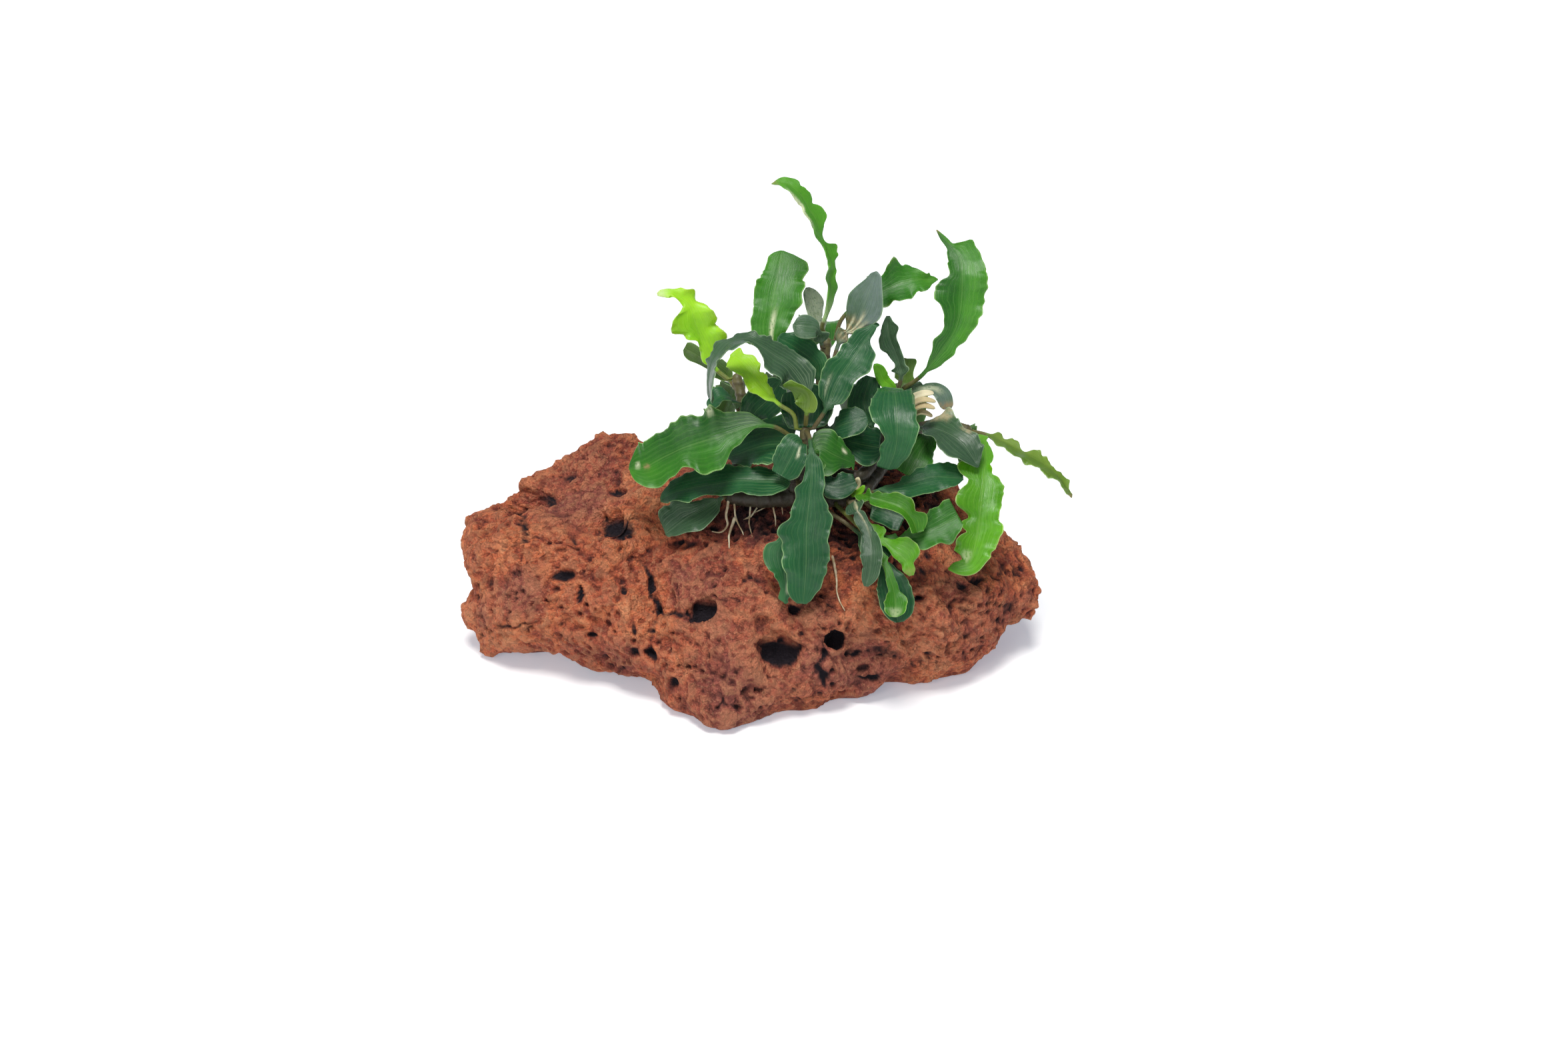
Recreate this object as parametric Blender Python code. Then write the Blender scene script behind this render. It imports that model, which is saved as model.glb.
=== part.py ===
"""A clump of bucephalandra growing on a loose piece of red-brown lava stone.

The stone rests on a flat patch of its underside. A creeping rhizome lies along its top, five short
shoots rise from it, and each leaf with its stalk is a solid of its own. The origin is on the
underside of the stone, at the middle of the patch it rests on. Points read off the picture are
(x, y, toward): x and y in its pixels, and how far the point is towards the viewer, in millimetres.
"""
from dataclasses import dataclass

import bmesh
import bpy
import numpy as np

# Driving dimensions, in millimetres and degrees
STONE_WIDTH = 130.0
STONE_MIDDLE_HEIGHT = 19.0
STONE_HALF = np.array([66.0, 38.0, 24.0])
STONE_CELLS = np.array([30, 18, 11])
LUMPS = [(28.0, 11.0, 0.4), (13.0, 8.0, 0.6)]
LUMP_WAVES = 22
STONE_SEED = 20
BLEND_SOFTNESS = 0.02
RHIZOME_RADIUS = 2.1
SHOOT_RADIUS = 1.6
RHIZOME_TIP_SHARE = 0.9
SHOOT_TIP_SHARE = 0.75
SHOOT_FOOT = 2.5
STEM_RINGS = 15
STEM_ROUNDNESS = 2
BLADE_THICKNESS = 0.8
STALK_THICKNESS = 1.05
STALK_HALF_WIDTH = 0.5
STALK_TAPER = 0.3
JOIN_GAP = 0.4
RING_SPACING = 2.5
RINGS = (8, 18)
MOST_REACH = 0.65
BLADE_ONSET = 8
FOLD_ONSET = 4
WAVE_ONSET = 3
WAVE_END = 6
WAVE_AT_TIP = 0.3
WAVE_LAG = 0.13
LEAST_WAVED = 1.0
EDGE_STEPS = 5
PATH_STEPS = 24
LEAST_SLANT = 1e-9

# How the picture was taken: its middle, the size of a pixel at the stone's middle, and the eye
PICTURE_MIDDLE = (1176.0, 784.0)
STONE_PIXELS = 866.7
PIXEL = STONE_WIDTH / STONE_PIXELS
EYE_DISTANCE = 600.0
EYE_ELEVATION = np.radians(30.0)
AIM = np.array([7.5, 0.0, 29.0])
ACROSS = np.array([1.0, 0.0, 0.0])
UPWARD = np.array([0.0, np.sin(EYE_ELEVATION), np.cos(EYE_ELEVATION)])
TOWARD = np.array([0.0, -np.cos(EYE_ELEVATION), np.sin(EYE_ELEVATION)])
MILLIMETRE = 0.001

# Colour and roughness of each finish
FINISHES = {
    "stone": ((0.36, 0.10, 0.05), 0.9),
    "stem": ((0.16, 0.11, 0.05), 0.5),
    "leaf_dark": ((0.02, 0.09, 0.035), 0.3),
    "leaf_mid": ((0.05, 0.20, 0.03), 0.35),
    "leaf_lime": ((0.22, 0.46, 0.03), 0.4),
    "leaf_grey": ((0.10, 0.15, 0.11), 0.3),
    "leaf_olive": ((0.16, 0.20, 0.04), 0.45),
}


def seen(x, y, toward):
    """The point at a pixel of the picture, a given way nearer the viewer than the stone's middle."""
    spread = PIXEL * (1.0 - toward / EYE_DISTANCE)
    right = (x - PICTURE_MIDDLE[0]) * spread
    up = (PICTURE_MIDDLE[1] - y) * spread
    return AIM + right * ACROSS + up * UPWARD + toward * TOWARD


def in_picture(points):
    """Where points show in the picture: x and y in its pixels, the inverse of seen."""
    away = points - AIM
    spread = PIXEL * (1.0 - away @ TOWARD / EYE_DISTANCE)
    return np.stack([PICTURE_MIDDLE[0] + away @ ACROSS / spread,
                     PICTURE_MIDDLE[1] - away @ UPWARD / spread], axis=-1)


def unit(vectors):
    """The same directions, one long."""
    return vectors / np.linalg.norm(vectors, axis=-1, keepdims=True)


def smooth_path(points, count):
    """Evenly spaced points along the centripetal Catmull-Rom curve through the points, and its length."""
    marks = np.asarray(points, float)
    marks = np.vstack([2 * marks[0] - marks[1], marks, 2 * marks[-1] - marks[-2]])
    fine = []
    for first in range(len(marks) - 3):
        p = marks[first:first + 4]
        knots = np.concatenate([[0], np.cumsum(np.linalg.norm(np.diff(p, axis=0), axis=1) ** 0.5)])
        t = np.linspace(knots[1], knots[2], PATH_STEPS, endpoint=False)[:, None]

        def between(a, b, left, right):
            return ((knots[right] - t) * a + (t - knots[left]) * b) / (knots[right] - knots[left])

        a1 = between(p[0], p[1], 0, 1)
        a2 = between(p[1], p[2], 1, 2)
        a3 = between(p[2], p[3], 2, 3)
        fine.append(between(between(a1, a2, 0, 2), between(a2, a3, 1, 3), 1, 2))
    fine = np.vstack(fine + [marks[-2][None]])
    run = np.concatenate([[0], np.cumsum(np.linalg.norm(np.diff(fine, axis=0), axis=1))])
    want = np.linspace(0, run[-1], count)
    path = np.stack([np.interp(want, run, fine[:, axis]) for axis in range(3)], axis=1)
    return path, run[-1]


def finish(name):
    """The Principled material of one finish, made once."""
    if name in bpy.data.materials:
        return bpy.data.materials[name]
    colour, roughness = FINISHES[name]
    material = bpy.data.materials.new(name)
    material.use_nodes = True
    shader = material.node_tree.nodes["Principled BSDF"]
    shader.inputs["Base Color"].default_value = (*colour, 1.0)
    shader.inputs["Roughness"].default_value = roughness
    shader.inputs["Metallic"].default_value = 0.0
    return material


def add_object(name, data, finish_name):
    """Links mesh or curve data into the scene as a named piece with its finish."""
    data.materials.append(finish(finish_name))
    piece = bpy.data.objects.new(name, data)
    bpy.context.scene.collection.objects.link(piece)
    return piece


for old in list(bpy.data.objects):
    bpy.data.objects.remove(old, do_unlink=True)

# Lava stone: marks on its outline, on the front, at the back and underneath
STONE_MIDDLE = np.array([0.0, 0.0, STONE_MIDDLE_HEIGHT])
OUTLINE_MARKS = [
    (694, 815, -6), (708, 765, -8), (735, 748, -9), (768, 756, -8), (775, 718, -9), (820, 703, -9),
    (862, 672, -11), (898, 645, -12), (935, 655, -11), (1000, 668, -12), (1100, 672, -12),
    (1220, 668, -12), (1330, 690, -10), (1440, 733, -8), (1510, 800, -6), (1545, 840, -6),
    (1558, 880, -5), (1543, 925, -3), (1498, 943, 0), (1484, 980, 1), (1450, 1012, 2),
    (1400, 1022, 6), (1320, 1035, 11), (1200, 1072, 16), (1090, 1095, 20), (1010, 1065, 17),
    (985, 1020, 12), (930, 1015, 10), (850, 990, 5), (800, 975, 1), (735, 980, -3),
    (705, 930, -4), (700, 860, -5),
]
FRONT_MARKS = [
    (760, 800, 4), (770, 890, 8), (900, 740, 2), (860, 850, 12), (930, 900, 17), (985, 870, 14),
    (1000, 960, 20), (1100, 830, 19), (1100, 900, 22), (1100, 1000, 26), (1000, 740, 5),
    (1110, 770, 12.5), (1200, 760, 11.4), (1300, 787, 12.5), (1240, 870, 20), (1300, 930, 21),
    (1400, 860, 17), (1420, 950, 16), (1500, 870, 9), (1220, 1010, 22), (1200, 722, -4),
    (1000, 700, -3), (1380, 780, 5),
]
BACK_POINTS = [
    (-52, 18, 14), (-30, 33, 22), (-30, 30, 5), (0, 36, 22), (5, 34, 5), (30, 31, 18),
    (28, 29, 5), (55, 13, 15), (10, 30, 31), (-14, 28, 35), (-62, 7, 18), (-59, 13, 21),
    (-53, 18, 25), (-44, 23, 29), (-28, 27, 33), (-61, 8, 9), (-50, 20, 7), (59, 7, 9),
]
UNDERSIDE_POINTS = [
    (-46, 0, 2), (-59, 0, 4), (46, 0, 3), (0, -20, -4), (0, 20, -3), (-25, -5, -3), (25, -5, -3),
    (-15, 22, 0), (20, 22, 1), (-34, -12, 1), (-22, -19, 1), (32, -22, 1), (52, -14, 4),
]
# Cavities and knobs: picture point, half width and depth in millimetres, where a knob's is below zero
HOLLOWS = [
    ((925, 785, 5), 4.2, 4.0), ((1055, 912, 21), 2.6, 2.6), ((1168, 978, 24), 4.0, 3.6),
    ((1253, 957, 22), 2.2, 2.2), ((1022, 812, 10), 3.4, 1.8), ((990, 905, 17), 3.0, 1.2),
    ((1085, 1068, 23), 4.5, -1.6), ((1150, 885, 22), 5.0, -0.8), ((760, 738, -11), 5.0, 4.4),
    ((838, 978, -2), 3.6, 2.6),
]


def stone_lumps(points):
    """Swells and crags: sums of sine waves of seeded directions, lengths and phases."""
    seed = np.random.default_rng(STONE_SEED)
    total = np.zeros(len(points))
    for longest, shortest, height in LUMPS:
        for _ in range(LUMP_WAVES):
            way = unit(seed.normal(size=3))
            length = seed.uniform(shortest, longest)
            phase = seed.uniform(0, 2 * np.pi)
            total += height / np.sqrt(LUMP_WAVES / 2) * np.sin(2 * np.pi * (points @ way) / length + phase)
    return total


def stone_surface(ways):
    """Points of the stone along unit directions from its middle.

    The distance is a blend through the marks, weighted by a softened distance between directions.
    The swells are added to it and each hollow takes a round, smooth-sided bite.
    """
    marks = [seen(*mark) for mark in OUTLINE_MARKS + FRONT_MARKS] + BACK_POINTS + UNDERSIDE_POINTS
    marks = np.array(marks, float) - STONE_MIDDLE
    reach = np.linalg.norm(marks, axis=1)
    mark_ways = unit(marks)
    count = len(marks)

    def kernel(a, b):
        apart = np.linalg.norm(a[:, None] - b[None], axis=2)
        return np.sqrt(apart ** 2 + BLEND_SOFTNESS ** 2)

    system = np.zeros((count + 1, count + 1))
    system[:count, :count] = kernel(mark_ways, mark_ways)
    system[:count, count] = 1.0
    system[count, :count] = 1.0
    shares = np.linalg.solve(system, np.append(reach, 0.0))
    distance = kernel(ways, mark_ways) @ shares[:count] + shares[count]
    distance += stone_lumps(ways * distance[:, None])
    for mark, size, depth in HOLLOWS:
        middle = seen(*mark) - STONE_MIDDLE
        away = np.linalg.norm(ways * np.linalg.norm(middle) - middle, axis=1) / size
        distance -= depth * np.exp(-away ** 4)
    return STONE_MIDDLE + ways * distance[:, None]


def box_lattice(counts):
    """Corners of a box cut into cells, from -1 to 1 each way, and its outward faces of four corners.

    Each side is a grid of two parameters. Corners that two sides share are one corner.
    """
    sides = []
    for axis in range(3):
        first, second = (axis + 1) % 3, (axis + 2) % 3
        u, v = np.meshgrid(np.arange(counts[first] + 1), np.arange(counts[second] + 1), indexing="ij")
        for end in (0, counts[axis]):
            grid = np.empty(u.shape + (3,), np.int64)
            grid[..., axis], grid[..., first], grid[..., second] = end, u, v
            cells = [grid[:-1, :-1], grid[1:, :-1], grid[1:, 1:], grid[:-1, 1:]]
            sides.append(np.stack(cells if end else cells[::-1], axis=2).reshape(-1, 4, 3))
    quads = np.concatenate(sides)
    steps = np.array([1, counts[0] + 1, (counts[0] + 1) * (counts[1] + 1)])
    keys, faces = np.unique((quads * steps).sum(-1), return_inverse=True)
    places = np.stack([keys // steps[axis] % (counts[axis] + 1) for axis in range(3)], axis=1)
    return 2.0 * places / counts - 1.0, faces.reshape(-1, 4)


def make_stone():
    """A box cut into cells and blown out to the stone's surface, then cut off flat where it rests."""
    lattice, faces = box_lattice(STONE_CELLS)
    surface = stone_surface(unit(np.tan(lattice * np.pi / 4) * STONE_HALF))
    shape = bmesh.new()
    corners = [shape.verts.new(point * MILLIMETRE) for point in surface]
    for face in faces:
        shape.faces.new([corners[place] for place in face])
    everything = shape.verts[:] + shape.edges[:] + shape.faces[:]
    bmesh.ops.bisect_plane(shape, geom=everything, plane_co=(0, 0, 0), plane_no=(0, 0, 1), clear_inner=True)
    rim = [edge for edge in shape.edges if edge.is_boundary]
    bmesh.ops.contextual_create(shape, geom=rim)
    bmesh.ops.recalc_face_normals(shape, faces=shape.faces[:])
    mesh = bpy.data.meshes.new("stone")
    shape.to_mesh(mesh)
    shape.free()
    return add_object("stone", mesh, "stone")


# Rhizome and shoots: each shoot leaves the rhizome at a share of its length
AXIS_POINTS = 60
END_SHARE = 0.985
RHIZOME_MARKS = [(1088, 742, 12), (1140, 748, 14.2), (1200, 746, 14.8), (1250, 748, 14.5), (1290, 746, 13.5)]
SHOOTS = {
    "stem_front": (0.53, [(1199, 715, 17), (1206, 675, 18), (1208, 640, 19)]),
    "stem_top": (0.66, [(1238, 715, 13), (1234, 660, 9), (1233, 580, 8), (1240, 505, 8)]),
    "stem_right": (0.84, [(1290, 715, 13), (1318, 670, 7), (1338, 620, 5), (1352, 582, 5)]),
    "stem_far_right": (1.0, [(1310, 719, 8), (1343, 676, 1), (1385, 641, -2), (1425, 638, -2),
                             (1458, 648, -2)]),
    "stem_left": (0.10, [(1108, 715, 8), (1112, 660, 4), (1112, 600, 2), (1104, 560, 1)]),
}


def stem_path(name, count):
    """Points down the middle of the rhizome, or of a shoot from where it leaves the rhizome."""
    if name == "rhizome":
        return smooth_path([seen(*mark) for mark in RHIZOME_MARKS], count)[0]
    share, marks = SHOOTS[name]
    points = [seen(*mark) for mark in marks]
    rhizome = stem_path("rhizome", AXIS_POINTS)
    start, way = leaving_point(rhizome, share, points[0], RHIZOME_RADIUS)
    return smooth_path([start, start + SHOOT_FOOT * way] + points, count)[0]


def leaving_point(axis, share, target, radius):
    """Where something bound for a target leaves the side of a stem, and the way it sets out."""
    here = int(round(share * (len(axis) - 1)))
    along = unit(axis[min(here + 1, len(axis) - 1)] - axis[max(here - 1, 0)])
    way = target - axis[here]
    if share < END_SHARE:
        way = way - (way @ along) * along
    way = unit(way)
    return axis[here] + way * (radius + JOIN_GAP), way


def make_stem(name, radius):
    """A round stem that thins towards its tip, a poly curve with a bevel and closed ends."""
    path = stem_path(name, STEM_RINGS)
    curve = bpy.data.curves.new(name, "CURVE")
    curve.dimensions = "3D"
    curve.bevel_depth = radius * MILLIMETRE
    curve.bevel_resolution = STEM_ROUNDNESS
    curve.use_fill_caps = True
    spline = curve.splines.new("POLY")
    spline.points.add(len(path) - 1)
    thin = SHOOT_TIP_SHARE if name in SHOOTS else RHIZOME_TIP_SHARE
    for place, (point, corner) in enumerate(zip(path, spline.points)):
        corner.co = (*(point * MILLIMETRE), 1.0)
        corner.radius = 1.0 + (thin - 1.0) * place / (len(path) - 1)
    return add_object(name, curve, "stem")


@dataclass
class Leaf:
    """One leaf: where it leaves its stem, its midrib, its width, and how its blade lies.

    The face gives the way the upper side looks at the base and at the tip, as shares across, up
    and toward the viewer. The stalk is the share of the length before the blade opens. The edge is
    the blade's outline in the picture; where there is none, the base and tip powers shape it: small
    ones are blunt, large ones drawn out.
    """
    name: str
    stem: str
    at: float
    midrib: list
    width: float
    face: tuple
    fold: float = 10.0
    wave: float = 0.5
    waves: float = 3.0
    stalk: float = 0.12
    base: float = 0.7
    tip: float = 0.5
    finish: str = "leaf_dark"
    edge: tuple = ()


FRONT_LEAVES = [
    Leaf("leaf_left_broad", "stem_front", 0.80,
         [(1160, 640, 20), (1120, 641, 21), (1080, 655, 21.5), (1040, 667, 20.5), (1000, 684, 19),
          (965, 702, 17), (943, 704, 15)],
         14.0, ((0, 0.5, 1), (-0.2, 0.4, 1)), 10, 0.9, 3.5, 0.15, 0.7, 0.38, "leaf_mid",
         edge=[(1160, 633), (1148, 626), (1130, 619), (1110, 617), (1085, 618), (1067, 613),
               (1050, 619), (1030, 624), (1010, 635), (1002, 645), (990, 648), (978, 652), (964, 662),
               (952, 677), (943, 697), (950, 716), (962, 728), (972, 731), (983, 731), (993, 727),
               (1004, 719), (1014, 716), (1021, 711), (1025, 703), (1040, 702), (1046, 708),
               (1055, 711), (1068, 713), (1078, 712), (1085, 706), (1091, 690), (1098, 672),
               (1111, 664), (1117, 657), (1125, 650), (1133, 644), (1150, 645), (1165, 646)]),
    Leaf("leaf_front_long", "stem_front", 0.93,
         [(1214, 655, 23), (1217, 680, 26), (1216, 730, 28), (1210, 790, 28), (1209, 850, 27.5),
          (1205, 906, 26)],
         12.4, ((0, 0.4, 1), (0, 0.2, 1)), 8, 0.7, 4, 0.10, 0.9, 0.45,
         edge=[(1211, 680), (1208, 695), (1205, 712), (1202, 726), (1193, 732), (1193, 748),
               (1188, 762), (1186, 775), (1178, 783), (1167, 788), (1166, 800), (1172, 812),
               (1170, 822), (1174, 830), (1171, 843), (1176, 856), (1180, 875), (1183, 892),
               (1192, 903), (1205, 907), (1215, 903), (1222, 893), (1230, 884), (1235, 872),
               (1241, 860), (1241, 849), (1245, 836), (1246, 820), (1242, 813), (1243, 806),
               (1248, 790), (1248, 776), (1242, 767), (1242, 758), (1236, 742), (1238, 722),
               (1237, 705), (1232, 691), (1222, 678)]),
    Leaf("leaf_young_olive", "stem_front", 1.0,
         [(1210, 620, 22), (1214, 600, 23.5), (1206, 584, 24), (1174, 578, 23)],
         6.5, ((-0.4, 0, 1), (-0.2, -0.8, 0.6)), 25, 0.3, 2, 0.15, 0.5, 0.45, "leaf_olive",
         edge=[(1200, 622), (1196, 608), (1189, 593), (1181, 584), (1174, 578), (1184, 573),
               (1197, 574), (1210, 580), (1221, 592), (1226, 608), (1218, 622)]),
    Leaf("leaf_lime_inner", "stem_front", 0.97,
         [(1190, 622, 20.5), (1168, 606, 20.2), (1150, 588, 19), (1135, 570, 17.5), (1122, 552, 16),
          (1108, 538, 14), (1095, 533, 13)],
         7.2, ((0.4, 0.4, 1), (0.3, 0.6, 1)), 10, 0.5, 2.5, 0.3, 0.8, 0.5, "leaf_lime",
         edge=[(1165, 600), (1160, 585), (1152, 570), (1143, 553), (1138, 542), (1129, 532),
               (1120, 533), (1112, 524), (1104, 524), (1092, 543), (1087, 555), (1088, 563),
               (1098, 562), (1110, 564), (1118, 577), (1128, 588), (1143, 598), (1155, 604)]),
    Leaf("leaf_arch_grey", "stem_front", 0.99,
         [(1213, 594, 19.5), (1205, 575, 19.5), (1190, 553, 20), (1165, 535, 21), (1145, 522, 22),
          (1120, 509, 23), (1095, 513, 24), (1078, 530, 24), (1068, 550, 23.5), (1063, 570, 23),
          (1068, 600, 21)],
         9.5, ((-0.2, 0.9, 0.6), (-1, 0.3, 0.4)), 12, 0.4, 3, 0.1, 0.6, 0.6, "leaf_grey",
         edge=[(1229, 585), (1229, 562), (1212, 540), (1190, 522), (1165, 511), (1145, 505),
               (1125, 498), (1108, 499), (1092, 505), (1078, 515), (1066, 530), (1058, 545),
               (1056, 560), (1060, 580), (1062, 592), (1067, 605), (1075, 600), (1078, 585),
               (1084, 570), (1088, 552), (1095, 535), (1107, 520), (1120, 517), (1135, 524),
               (1143, 540), (1152, 558), (1165, 575), (1180, 588), (1200, 598)]),
    Leaf("leaf_centre_gloss", "stem_front", 0.96,
         [(1240, 612, 17.5), (1256, 575, 16.5), (1282, 535, 15.3), (1317, 485, 13.5)],
         11.5, ((0.1, 0.3, 1), (-0.1, 0.2, 1)), 10, 0.6, 3, 0.15, 0.6, 0.55,
         edge=[(1228, 602), (1228, 582), (1231, 560), (1238, 545), (1255, 531), (1263, 519),
               (1271, 512), (1280, 497), (1298, 490), (1312, 486), (1315, 492), (1306, 509),
               (1308, 522), (1315, 533), (1309, 545), (1305, 557), (1290, 566), (1282, 575),
               (1274, 593), (1260, 608)]),
    Leaf("leaf_under_left", "stem_front", 0.45,
         [(1180, 722, 19.5), (1150, 722, 19.5), (1110, 722, 18.8), (1070, 727, 17.5), (1035, 733, 16),
          (1005, 742, 14.5), (991, 752, 13)],
         9.5, ((0, 0.9, 0.8), (-0.1, 0.7, 0.9)), 10, 0.6, 4, 0.1, 0.6, 0.5,
         edge=[(1194, 706), (1150, 702), (1110, 700), (1070, 702), (1035, 708), (1008, 720), (995, 735),
               (990, 752), (1000, 755), (1012, 753), (1035, 751), (1060, 747), (1090, 742), (1120, 742),
               (1150, 743), (1196, 744)]),
    Leaf("leaf_low_left", "rhizome", 0.02,
         [(1085, 746, 15), (1060, 760, 15), (1030, 777, 14.5), (998, 802, 13.5)],
         8.5, ((-0.2, 0.5, 1), (-0.2, 0.5, 1)), 8, 0.4, 2, 0.05, 0.7, 0.42,
         edge=[(1060, 748), (1035, 753), (1012, 750), (997, 758), (988, 768), (986, 775), (992, 786),
               (997, 797), (1005, 804), (1018, 803), (1030, 800), (1045, 797), (1055, 793), (1065, 785),
               (1075, 775), (1083, 762), (1092, 748)]),
    Leaf("leaf_inner_left", "stem_front", 0.68,
         [(1180, 668, 16), (1150, 668, 13.2), (1092, 686, 10)],
         13.0, ((0, 0.8, 0.8), (0, 0.8, 0.8)), 10, 0.5, 3, 0.03, 0.5, 0.5,
         edge=[(1194, 628), (1176, 615), (1154, 620), (1138, 632), (1114, 642), (1096, 668),
               (1100, 697), (1150, 698), (1170, 704), (1196, 706)]),
    Leaf("leaf_front_right", "stem_front", 0.62,
         [(1228, 672, 18.5), (1250, 682, 18), (1282, 697, 15)],
         9.5, ((0.2, 0.5, 1), (0.3, 0.4, 1)), 8, 0.4, 2, 0.02, 0.6, 0.5, "leaf_mid",
         edge=[(1212, 657), (1224, 647), (1240, 643), (1256, 650), (1268, 665), (1280, 685),
               (1275, 700), (1262, 703), (1250, 710), (1240, 718), (1222, 690)]),
    Leaf("leaf_front_behind", "stem_front", 0.22,
         [(1202, 745, 21.5), (1191, 785, 23.5), (1176, 830, 24.5), (1178, 870, 24.5), (1177, 906, 24)],
         8.0, ((0, 0.3, 1), (-0.2, 0.2, 1)), 8, 0.5, 3, 0.2, 0.8, 0.42,
         edge=[(1190, 775), (1175, 800), (1160, 812), (1148, 817), (1143, 830), (1147, 845),
               (1155, 855), (1163, 863), (1168, 872), (1170, 888), (1167, 896), (1172, 906),
               (1188, 890), (1190, 870), (1190, 840), (1196, 810), (1200, 785)]),
    Leaf("leaf_shade_mid", "stem_front", 0.58,
         [(1240, 660, 13), (1268, 662, 12.2), (1296, 668, 11.8), (1320, 672, 11)],
         9.0, ((0, 0.5, 1), (0, 0.5, 1)), 8, 0.3, 2, 0.12, 0.7, 0.5,
         edge=[(1250, 650), (1275, 645), (1295, 640), (1310, 640), (1320, 645), (1324, 660),
               (1318, 688), (1310, 697), (1295, 699), (1283, 692), (1272, 682), (1258, 672)]),
    Leaf("leaf_shade_root", "stem_front", 0.25,
         [(1232, 728, 19.5), (1258, 732, 20), (1284, 724, 19)],
         7.0, ((0, 0.4, 1), (0, 0.4, 1)), 8, 0.3, 2, 0.15, 0.6, 0.5,
         edge=[(1236, 716), (1260, 710), (1280, 712), (1288, 720), (1284, 733), (1274, 743),
               (1258, 750), (1236, 744)]),
    Leaf("leaf_front_small", "stem_front", 0.74,
         [(1198, 664, 22), (1187, 686, 23), (1172, 714, 22.5)],
         7.0, ((-0.1, 0.3, 1), (-0.2, 0.3, 1)), 10, 0.3, 2, 0.02, 0.5, 0.5,
         edge=[(1209, 668), (1211, 685), (1206, 702), (1194, 718), (1168, 720), (1158, 708),
               (1159, 690), (1170, 664), (1188, 650)]),
    Leaf("leaf_shade_olive", "stem_front", 0.88,
         [(1206, 640, 14.5), (1206, 615, 14), (1197, 584, 14.5)],
         12.0, ((0, 0.4, 1), (0, 0.2, 1)), 8, 0.3, 2, 0.08, 0.5, 0.5,
         edge=[(1190, 652), (1178, 636), (1172, 615), (1174, 592), (1216, 576), (1240, 584),
               (1249, 600), (1248, 622), (1228, 648)]),
]

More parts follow.
